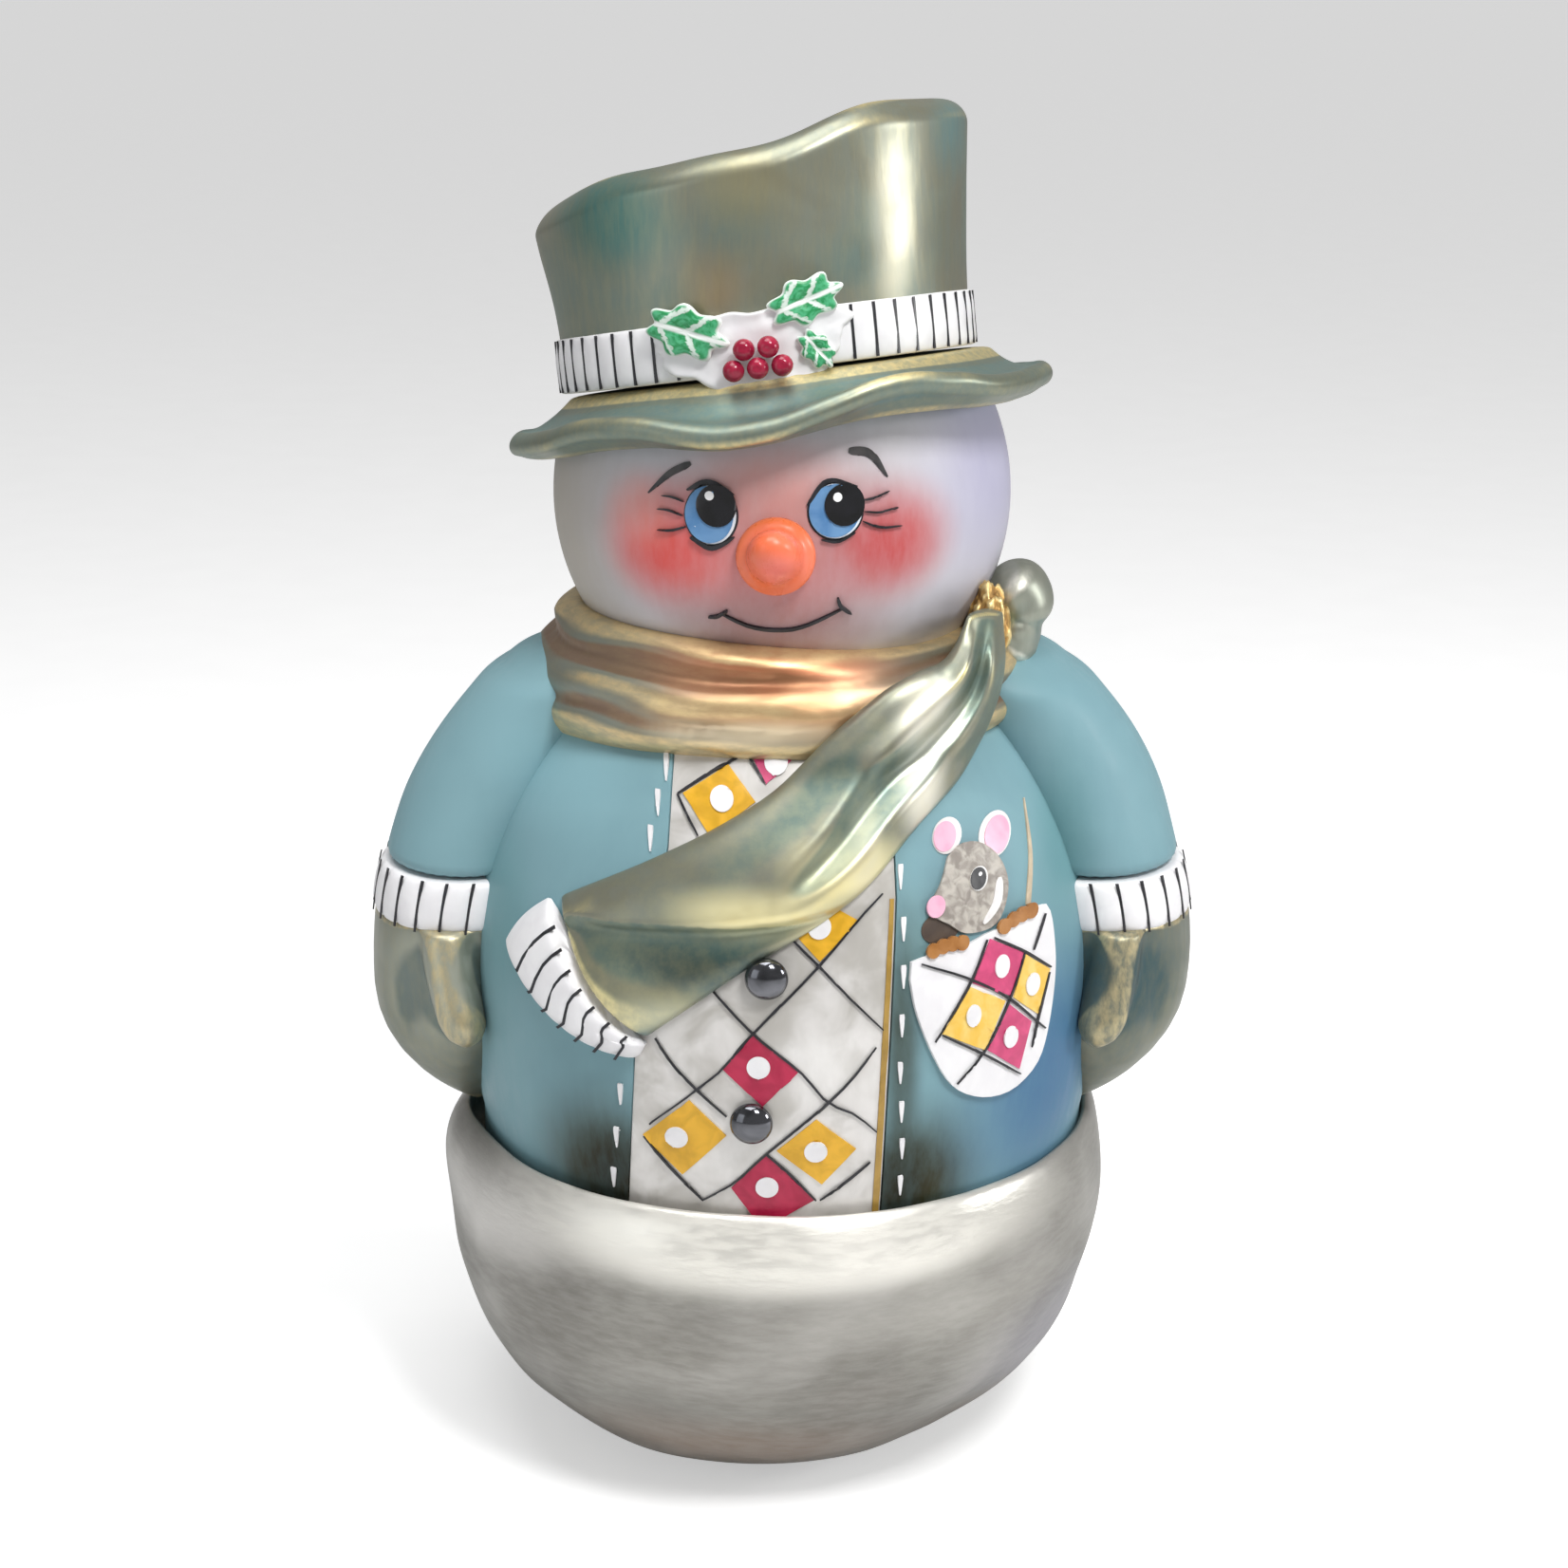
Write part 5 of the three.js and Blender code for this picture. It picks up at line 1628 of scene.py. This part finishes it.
class SNOWMAN_OT_scarf(SnowmanOperator):
    """Carves the scarf's wrap and its knot"""

    bl_idname = "snowman.scarf"
    bl_label = "Scarf"

    def execute(self, context):
        rolls = [
            wrap_roll(0.95 * WRAP_RADIUS, 4.4 * MM, COAT_TOP + 5.6 * MM, 1.2 * MM, 0.4),
            wrap_roll(1.04 * WRAP_RADIUS, 4.9 * MM, COAT_TOP + 0.2 * MM, 0.4 * MM, 2.1),
            wrap_roll(1.05 * WRAP_RADIUS, 4.8 * MM, COAT_TOP - 5.2 * MM, -0.9 * MM, 4),
            wrap_roll(0.96 * WRAP_RADIUS, 6.5 * MM, COAT_TOP - 0.5 * MM, 0, 1),
        ]
        wrap = joined("scarf_rolls", rolls)
        carved(wrap, 0.75 * MM, 4)
        marked(wrap, 140, 0.8 * MM)
        done(wrap, wrap_paint(), "gold", "scarf_wrap")
        self.knot()
        return {"FINISHED"}

    def knot(self):
        place = knot_place()
        lobes = []
        for offset, half in (((0.4, 0.5, 2.6), (6.4, 8.6, 6.3)), ((-0.5, -0.6, -4.4), (5.2, 7.8, 5.7))):
            nothing_selected()
            bpy.ops.mesh.primitive_uv_sphere_add(segments=40, ring_count=24, radius=1, location=(0, 0, 0))
            lobe = fresh("lobe")
            bpy.ops.object.mode_set(mode="EDIT")
            bpy.ops.mesh.select_all(action="SELECT")
            bpy.ops.transform.resize(value=[h * MM for h in half])
            bpy.ops.transform.translate(value=place + Vector(offset) * MM)
            bpy.ops.object.mode_set(mode="OBJECT")
            lobes.append(lobe)
        knot = joined("scarf_loop", lobes)
        carved(knot, 0.5 * MM, 14)

        def gathered(v):
            away = v - place - Vector((-6.2, -2, -1.5)) * MM
            way = math.atan2(away.z, away.x)
            crease = 0.45 * MM * math.sin(7 * way + 1.2) * ramp(away.length, 2 * MM, 7 * MM)
            return v + Vector((away.x, 0, away.z)).normalized() * crease * 0.6 + Vector((0, -crease, 0))

        moulded(knot, gathered)
        marked(knot, 90, 0.8 * MM)
        done(knot, knot_paint(), "pewter", "scarf_knot")
        nothing_selected()
        bpy.ops.mesh.primitive_ico_sphere_add(subdivisions=5, radius=1, location=(0, 0, 0))
        fold = fresh("knot_fold")

        def crumpled(v):
            crease = 1 + 0.22 * noise.noise(v * 2.4) + 0.12 * noise.noise(v * 6)
            size = Vector((3.6 * MM, 4.6 * MM, 7.6 * MM)) * crease
            spot = place + Vector((-5.6, -9.0, -1.2)) * MM
            return spot + Vector((v.x * size.x, v.y * size.y, v.z * size.z))

        moulded(fold, crumpled)
        bpy.ops.object.shade_smooth()
        marked(fold, 40, 0.35 * MM)
        done(fold, gold_paint(), "gold")


def tail_line():
    """The scarf tail's middle line in front view."""
    start = knot_place()
    wide, tall = KNOT_HALF.x, KNOT_HALF.z
    loop = [(start.x - wide, start.z + 0.47 * tall), (start.x - 1.62 * wide, start.z - 0.915 * tall)]
    across = [(0.27, 0.87), (0.08, 0.748), (-0.255, 0.61), (-0.545, 0.475)]
    stops = loop + [(x * COAT_RADIUS, BALL_TOP + t * COAT_HEIGHT) for x, t in across]
    end = stops[-1]
    stops.append((end[0] - 4.64 * MM, end[1] - 6.56 * MM))
    return smooth_line(stops, TAIL_STEPS)


TAIL_LINE = tail_line()
TAIL_END = 0.905  # where the fringe begins, as a share of the tail's length


def tail_half(u):
    return TAIL_HALF * (0.3 + 0.7 * ramp(u, -0.02, 0.25) + 0.22 * ramp(u, 0.6, 1))


def draped(x, z, out):
    """A point over what the tail hangs on: the wrap at the top, the coat below."""
    wrap = (WRAP_RADIUS + 0.75 * WRAP_ROLL) * ramp(z, COAT_TOP - 34 * MM, COAT_TOP - 6 * MM)
    coat = coat_radius(z)
    r = (coat + wrap + math.sqrt((coat - wrap) ** 2 + (4 * MM) ** 2)) / 2 + out
    return Vector((x, -math.sqrt(max(r * r - x * x, 60 * MM * MM)), z))


def on_tail(side, u, out):
    """A point on the tail: side from -1 at its upper edge to 1 at its lower edge, u along it."""
    i = min(max(int(u * TAIL_STEPS), 1), TAIL_STEPS - 1)
    spot = TAIL_LINE[min(max(round(u * TAIL_STEPS), 0), TAIL_STEPS)]
    ahead = (TAIL_LINE[i + 1] - TAIL_LINE[i - 1]).normalized()
    reach = tail_half(u) * side
    bulge = 4 * MM * (1 - side * side) * ramp(u, 0.72, 0.98)
    x = spot.x - ahead.y * reach + ahead.x * bulge
    z = spot.y + ahead.x * reach + ahead.y * bulge
    return draped(x, z, out)


def tail_thickness(side, u):
    """How far the cloth stands out: two long folds, a full belly, and a flap that turns under."""
    body = (1 - abs(side) ** 3.2) ** 0.5
    folds = 1.5 * bump(side, -0.42 + 0.5 * u, 0.2) + 1.3 * bump(side, 0.5 + 0.1 * u, 0.18)
    valley = -1.5 * bump(side, 0.05 + 0.35 * u, 0.16)
    upper = (folds + valley) * (1 - ramp(u, 0.42, 0.62)) * ramp(u, 0.0, 0.1)
    belly = 1.5 * bump(u, 0.6, 0.14) * bump(side, 0.1, 0.6)
    crease = u - (0.93 - 0.19 * (side + 1) ** 1.2)
    turned_under = ramp(crease, -0.03, 0.01) * math.exp(-max(crease, 0) / 0.1)
    flap = -3.3 * turned_under * ramp(side, -1.0, -0.6)
    return max(body, 0.02) * (3.9 + upper + belly + flap) * (0.3 + 0.7 * ramp(u, 0, 0.1)) * MM


class SNOWMAN_OT_tail(SnowmanOperator):
    """Lofts the scarf's hanging tail with its folds, and its ribbed fringe"""

    bl_idname = "snowman.tail"
    bl_label = "Scarf tail"

    def execute(self, context):
        spans = steps(0.005, TAIL_END, 110)
        tail = skin("scarf_drop", [self.section(u) for u in spans])
        inner = [1 - abs(s) ** 3 for s in self.sides()] + [0.0] * len(self.back())
        away = tail.data.attributes.new("from edge", "FLOAT", "POINT")
        away.data.foreach_set("value", inner * len(spans))
        rounded(tail, 1)
        modified(tail, "SMOOTH", factor=0.5, iterations=8)
        marked(tail, 220, 1.0 * MM)
        ridge = tail.data.attributes["ridge"].data
        for value, inside in zip(ridge, tail.data.attributes["from edge"].data):
            value.value *= max(inside.value, 0)
        done(tail, tail_paint(), "pewter", "scarf_tail")
        self.fringe()
        return {"FINISHED"}

    def sides(self, count=28):
        """Shares across the tail's front, from its upper edge to its lower edge."""
        return [-math.cos(a) for a in steps(0, math.pi, count)]

    def back(self):
        """Shares across the tail's back, from its lower edge to its upper edge."""
        return [math.cos(a) for a in steps(0, math.pi, 12)[1:-1]]

    def section(self, u):
        front = [on_tail(s, u, tail_thickness(s, u)) for s in self.sides()]
        return front + [on_tail(s, u, -2.5 * MM * (1 - s * s)) for s in self.back()]

    def fringe(self):
        ribs = FRINGE_RIBS
        rings = []
        for t in steps(0, 1, 10):
            start = TAIL_END + 0.004
            u = start + t * (1 - start)
            ring = []
            for s in self.sides(72):
                swell = abs(math.sin(ribs * math.pi * (s + 1) / 2)) ** 0.4
                edge = (1 - abs(s) ** 6) ** 0.5 * (1 - (2 * abs(t - 0.5)) ** 6) ** 0.4
                ring.append(on_tail(1.05 * s, u, (1.2 + 2.6 * edge + 0.4 * (swell - 1)) * MM))
            for s in self.back():
                ring.append(on_tail(1.05 * s, u, -1 * MM * (1 - s * s)))
            rings.append(ring)
        fringe = skin("scarf_ribbing", rings)
        rounded(fringe, 1)
        done(fringe, enamel_paint(), "white", "scarf_fringe")

        def lay(s, u, out):
            edge = (1 - min(abs(s), 0.999) ** 6) ** 0.5
            return on_tail(1.05 * s, u, (1.2 + 2.6 * edge - 0.12) * MM + out)

        lines = []
        for i in range(1, ribs):
            s = -1 + 2 * i / ribs
            low, high = TAIL_END + 0.008, 0.996
            lines.append([(s - 0.014, low), (s - 0.014, high), (s + 0.02, high), (s + 0.02, low)])
        painted("ribbing_lines", lines, lay, black_line(), "ink", 0.0, 0.25 * MM, 0.02)


class SNOWMAN_OT_brim(SnowmanOperator):
    """Turns the hat's brim and gives its edge a wave"""

    bl_idname = "snowman.brim"
    bl_label = "Hat brim"

    def execute(self, context):
        radius = CROWN_RADIUS + sizes().brim_width
        under = [(0.3, 0.3), (0.78, 0.3), (0.82, 0.1), (0.87, -1.0), (0.92, -0.8)]
        roll = 2.1 * MM
        edge = [
            (radius - roll + roll * math.cos(a), 2.4 * MM + roll * math.sin(a))
            for a in steps(-math.pi / 2, math.pi / 2, 7)
        ]
        over = [(0.92, 0.46), (0.89, 0.5), (0.85, 0.6), (0.81, 0.74), (0.775, 0.92), (0.76, 1), (0.5, 1)]
        foot = [(r * radius, h * MM) for r, h in under]
        brim = turned("brim", foot + edge + [(r * radius, h * BRIM_HEIGHT) for r, h in over], 96)
        rounded(brim, 2)
        wave = sizes().brim_wave

        def waved(v):
            way = math.atan2(v.y, v.x)
            out = ramp(math.hypot(v.x, v.y), 0.8 * radius, radius)
            rise = wave * out * math.sin(way) ** 2 * math.cos(5 * (way + 1.08))
            rise += 0.6 * MM * out * math.cos(way)
            rise += 0.3 * MM * out * noise.noise(Vector((3 * math.cos(way), 3 * math.sin(way), 0)) * 2)
            return lean_hat(Vector((v.x, v.y, v.z + rise)))

        moulded(brim, waved)
        marked(brim, 80, 0.8 * MM)
        done(brim, brim_paint(), "pewter", "hat_brim")
        return {"FINISHED"}


class SNOWMAN_OT_crown(SnowmanOperator):
    """Turns the hat's crown and slumps its top"""

    bl_idname = "snowman.crown"
    bl_label = "Hat crown"

    def execute(self, context):
        top = CROWN_BASE + CROWN_HEIGHT
        round_off = 5.5 * MM
        wall = [(crown_radius(h), h) for h in steps(CROWN_BASE - 0.5 * MM, top - round_off, 9)]
        edge = [
            (crown_radius(top) - round_off * (1 - math.cos(a)), top - round_off * (1 - math.sin(a)))
            for a in steps(0, math.pi / 2, 6)[1:]
        ]
        lid = [(r * CROWN_RADIUS, top - low * MM) for r, low in ((0.7, 0.3), (0.4, 0.2), (0.1, 0))]
        crown = turned("crown", [*wall, *edge, *lid], 80)
        rounded(crown, 2)

        def slumped(v):
            up = ramp(v.z, CROWN_BASE + 0.45 * CROWN_HEIGHT, top)
            swell = 1.5 * MM * bump(v.x, 20 * MM, 9 * MM) - 1.0 * MM * bump(v.x, 4 * MM, 9 * MM)
            swell += 1.2 * MM * bump(v.x, -24 * MM, 8 * MM)
            lumps = 0.35 * MM * noise.noise(v * 60)
            way = math.atan2(v.y, v.x)
            out = Vector((math.cos(way), math.sin(way), 0)) * lumps
            return lean_hat(Vector((v.x + CROWN_X, v.y, v.z + swell * up)) + out)

        moulded(crown, slumped)
        marked(crown, 50, 0.7 * MM)
        done(crown, hat_paint(), "pewter", "hat_crown")
        return {"FINISHED"}


class SNOWMAN_OT_band(SnowmanOperator):
    """Models the ribbed hat band and the black lines between its ribs"""

    bl_idname = "snowman.band"
    bl_label = "Hat band"

    def execute(self, context):
        low, high = CROWN_BASE + 0.15 * MM, CROWN_BASE + BAND_HEIGHT
        mid = (low + high) / 2
        out = crown_radius(mid) + 1.3 * MM
        inner = crown_radius(high) - 0.6 * MM
        profile = [(inner, low), (out - 0.5 * MM, low), (out, low + 0.9 * MM), (out + 0.15 * MM, mid)]
        profile += [(out, high - 0.9 * MM), (out - 0.5 * MM, high), (inner, high)]
        band = turned("ribbed_band", profile, 120)
        rounded(band, 2)
        ribs = BAND_RIBS

        def ribbed(v):
            way = math.atan2(v.y, v.x)
            groove = abs(math.sin(ribs * way / 2)) ** 0.4
            away = math.hypot(v.x, v.y)
            depth = 0.35 * MM * (groove - 1) * ramp(away, inner, out)
            r = away + depth + 0.15 * MM * noise.noise(Vector((v.x, v.y, 3 * v.z)) * 90)
            return lean_hat(Vector((r * math.cos(way) + CROWN_X, r * math.sin(way), v.z)))

        moulded(band, ribbed)
        done(band, enamel_paint(), "white", "hat_band")

        def lay(way, h, lift):
            r = out - 0.28 * MM + lift
            return lean_hat(Vector((r * math.cos(way) + CROWN_X, r * math.sin(way), h)))

        lines = []
        for i in range(ribs):
            way = 2 * math.pi * i / ribs - math.pi
            lines.append(rib_line(way, low + 0.3 * MM, high - 0.3 * MM, 0.0065, 0.0065))
        painted("band_lines", lines, lay, black_line(), "ink", 0.0, 0.25 * MM, 3 * MM)
        return {"FINISHED"}


def relief(name, centre, outline, levels):
    """A low carving on the crown: an outline about a centre, drawn in as it rises."""
    rings = []
    for scale, out in levels:
        rings.append([on_crown(centre[0] + s * scale, centre[1] + h * scale, out) for s, h in outline])
    return skin(name, rings)


def leaf_outline(length):
    """A long oval with points round its edge."""
    outline = []
    for a in angles(56):
        spike = 1 + 0.15 * math.cos(7 * a)
        outline.append((length / 2 * spike * math.cos(a), 0.32 * length * spike * math.sin(a)))
    return outline


class SNOWMAN_OT_sprig(SnowmanOperator):
    """Carves the sprig on the hat: its plaque, three holly leaves and five berries"""

    bl_idname = "snowman.sprig"
    bl_label = "Holly sprig"

    def execute(self, context):
        self.plaque()
        length = sizes().leaf_length
        leaves = [("left", -0.83, 0.26, 1.12, -0.42), ("right", 0.8, 0.5, 0.98, 0.3)]
        leaves += [("lower", 0.9, -0.21, 0.61, -0.95)]
        for name, s, h, share, turn in leaves:
            self.leaf(name, (SPRIG[0] + s * length, SPRIG[1] + h * length), share * length, turn)
        radius = sizes().berry_radius
        pitch = 2 * radius - 0.1 * MM
        spots = [(-0.5, 0), (0.5, 0), (-1, -0.9), (0, -0.9), (1, -0.9)]
        for number, (s, h) in enumerate(spots, 1):
            spot = (SPRIG[0] + 1.1 * MM + s * pitch, SPRIG[1] - 1 * MM + h * pitch)
            self.berry(number, on_crown(*spot, 2.7 * MM + radius), radius)
        return {"FINISHED"}

    def plaque(self):
        outline = []
        for a in angles(144):
            lobes = 1 + 0.05 * math.sin(7 * a + 0.6) + 0.03 * math.sin(12 * a) + 0.012 * math.sin(23 * a)
            sag = 1.82 * MM * math.cos(2 * a - 0.35)
            outline.append((16.2 * MM * lobes * math.cos(a), 7 * MM * lobes * math.sin(a) + sag))
        levels = [(1, 0.2), (1, 1.6), (0.985, 2.0), (0.95, 2.25), (0.9, 2.3)]
        levels += [(0.8, 2.15), (0.65, 2.1), (0.45, 2.2), (0.25, 2.2), (0.06, 2.2)]
        plaque = relief("plaque", SPRIG, outline, [(scale, out * MM) for scale, out in levels])
        only(plaque)
        rounded(plaque, 1)
        moulded(plaque, lambda v: v + Vector((0, -1, 0)) * 0.25 * MM * noise.noise(v * 420))
        done(plaque, enamel_paint(), "white", "sprig_plaque")

    def leaf(self, name, centre, length, turn):
        plain = leaf_outline(length)
        cos, sin = math.cos(turn), math.sin(turn)
        turned_points = [(x * cos - y * sin, x * sin + y * cos) for x, y in plain]
        levels = [(0.9, 2.0), (1, 2.3), (1, 2.9), (0.94, 3.3), (0.82, 3.5)]
        levels += [(0.6, 3.6), (0.4, 3.5), (0.2, 3.2), (0.05, 3.0)]
        leaf = relief("leaf_" + name, centre, turned_points, [(scale, out * MM) for scale, out in levels])
        place = leaf.data.attributes.new("leaf place", "FLOAT_VECTOR", "POINT")
        flat = [(2 * x / length * s, 2 * y / length * s, s) for s, _ in levels for x, y in plain]
        place.data.foreach_set("vector", [v for point in flat for v in point])
        rounded(leaf, 1)
        done(leaf, leaf_paint(), "holly", "holly_leaf_" + name)

    def berry(self, number, place, radius):
        nothing_selected()
        bpy.ops.mesh.primitive_uv_sphere_add(segments=28, ring_count=20, radius=radius, location=(0, 0, 0))
        berry = fresh("holly_berry_%d" % number)
        tilt = Vector((0.25 * math.cos(2.1 * number), -1, 0.2 * math.sin(1.7 * number))).normalized()

        def dimpled(v):
            along = v.normalized().dot(tilt) if v.length else 0
            return v * (1 - 0.16 * math.exp(-((1 - along) / 0.035)))

        moulded(berry, dimpled)
        berry.data.transform(Matrix.Translation(place))
        only(berry)
        bpy.ops.object.shade_smooth()
        done(berry, berry_paint(), "berry", "berry_%d" % number)


class SNOWMAN_OT_dowels(SnowmanOperator):
    """Finishes the dowels that hold the pieces together"""

    bl_idname = "snowman.dowels"
    bl_label = "Dowels"

    def execute(self, context):
        for name in ("waist", "neck", "left_arm", "right_arm", "hat"):
            coated(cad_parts[name + "_dowel"], wood_finish())
        return {"FINISHED"}


# The stage: where the view is from, and how bright the surroundings are
CAMERA_PLACE = (0.35 * MM, -519 * MM, 277 * MM)
CAMERA_DIP = 16.3  # degrees below level
CAMERA_LENS = 66.22
SENSOR = 36
FLOOR_SIZE = 60
FLOOR_GLOW = 0.55  # lifts the floor's tone for the camera alone
SURROUNDINGS = 0.27


def lamp(name, place, target, size, power, colour=(1, 1, 1)):
    nothing_selected()
    bpy.ops.object.light_add(type="AREA", location=place)
    light = bpy.context.object
    light.name = name
    light.data.size = size
    light.data.energy = power
    light.data.color = colour
    light.rotation_euler = (Vector(target) - Vector(place)).to_track_quat("-Z", "Y").to_euler()
    return light


class SNOWMAN_OT_stage(SnowmanOperator):
    """Sets the pale floor, the soft studio lights and the camera"""

    bl_idname = "snowman.stage"
    bl_label = "Stage"

    def execute(self, context):
        nothing_selected()
        bpy.ops.mesh.primitive_plane_add(size=FLOOR_SIZE, location=(0, 0, 0))
        floor = bpy.context.object
        floor.name = "floor"

        def fill(tree):
            place = node(tree, "ShaderNodeTexCoord").outputs["Object"]
            grain = node(tree, "ShaderNodeTexNoise", {"Vector": place, "Scale": 40.0})
            tone = mixed(tree, grain.outputs[0], (0.8, 0.8, 0.8), (0.83, 0.83, 0.83))
            seen = node(tree, "ShaderNodeLightPath").outputs["Is Camera Ray"]
            glow = product(tree, seen, FLOOR_GLOW)
            return {"Base Color": tone, "Emission Color": tone, "Emission Strength": glow}

        floor.data.materials.append(finished("pale floor", fill, Roughness=0.9))
        middle = (0, 0, 0.13)
        lamp("key", (0.3, -0.5, 0.85), middle, 0.24, 5.6)
        lamp("fill", (-0.8, -0.6, 0.35), middle, 0.6, 1.1, (0.93, 0.97, 1.0))
        lamp("top", (-0.1, -0.1, 0.95), middle, 0.5, 4.2)
        lamp("side", (0.85, -0.12, 0.36), (0, 0, 0.17), 0.2, 2.0)
        world = bpy.data.worlds.new("studio")
        context.scene.world = world
        world.use_nodes = True
        background = world.node_tree.nodes["Background"].inputs
        background["Color"].default_value = (1, 1, 1, 1)
        background["Strength"].default_value = SURROUNDINGS
        context.scene.view_settings.view_transform = "Standard"
        tilt = (math.radians(90 - CAMERA_DIP), 0, 0)
        bpy.ops.object.camera_add(location=CAMERA_PLACE, rotation=tilt)
        camera = bpy.context.object
        camera.data.lens = CAMERA_LENS
        camera.data.sensor_width = SENSOR
        camera.data.clip_start = 0.01
        context.scene.camera = camera
        return {"FINISHED"}


OPERATORS = (
    SNOWMAN_OT_stage,
    SNOWMAN_OT_snowball,
    SNOWMAN_OT_coat,
    SNOWMAN_OT_shirt,
    SNOWMAN_OT_buttons,
    SNOWMAN_OT_pocket,
    SNOWMAN_OT_stitches,
    SNOWMAN_OT_sleeves,
    SNOWMAN_OT_cuffs,
    SNOWMAN_OT_mittens,
    SNOWMAN_OT_head,
    SNOWMAN_OT_nose,
    SNOWMAN_OT_face,
    SNOWMAN_OT_scarf,
    SNOWMAN_OT_tail,
    SNOWMAN_OT_brim,
    SNOWMAN_OT_crown,
    SNOWMAN_OT_band,
    SNOWMAN_OT_sprig,
    SNOWMAN_OT_dowels,
)


class SNOWMAN_PT_panel(bpy.types.Panel):
    """Lists the figure's sizes, colours and pieces"""

    bl_label = "Wooden Snowman"
    bl_space_type = "VIEW_3D"
    bl_region_type = "UI"
    bl_category = "Snowman"

    def draw(self, context):
        for title, values in (("Sizes", sizes()), ("Colours", colours())):
            self.layout.label(text=title)
            for key in values.__annotations__:
                self.layout.prop(values, key)
        self.layout.label(text="Pieces")
        for operator in OPERATORS:
            self.layout.operator(operator.bl_idname)


CLASSES = (SnowmanSizes, SnowmanColours, *OPERATORS, SNOWMAN_PT_panel)


def register():
    for kind in CLASSES:
        bpy.utils.register_class(kind)
    bpy.types.Scene.snowman_sizes = bpy.props.PointerProperty(type=SnowmanSizes)
    bpy.types.Scene.snowman_colours = bpy.props.PointerProperty(type=SnowmanColours)


def unregister():
    del bpy.types.Scene.snowman_colours
    del bpy.types.Scene.snowman_sizes
    for kind in reversed(CLASSES):
        bpy.utils.unregister_class(kind)


def main():
    register()
    for operator in OPERATORS:
        name = operator.bl_idname.split(".")[1]
        getattr(bpy.ops.snowman, name)()


if __name__ == "__main__":
    main()
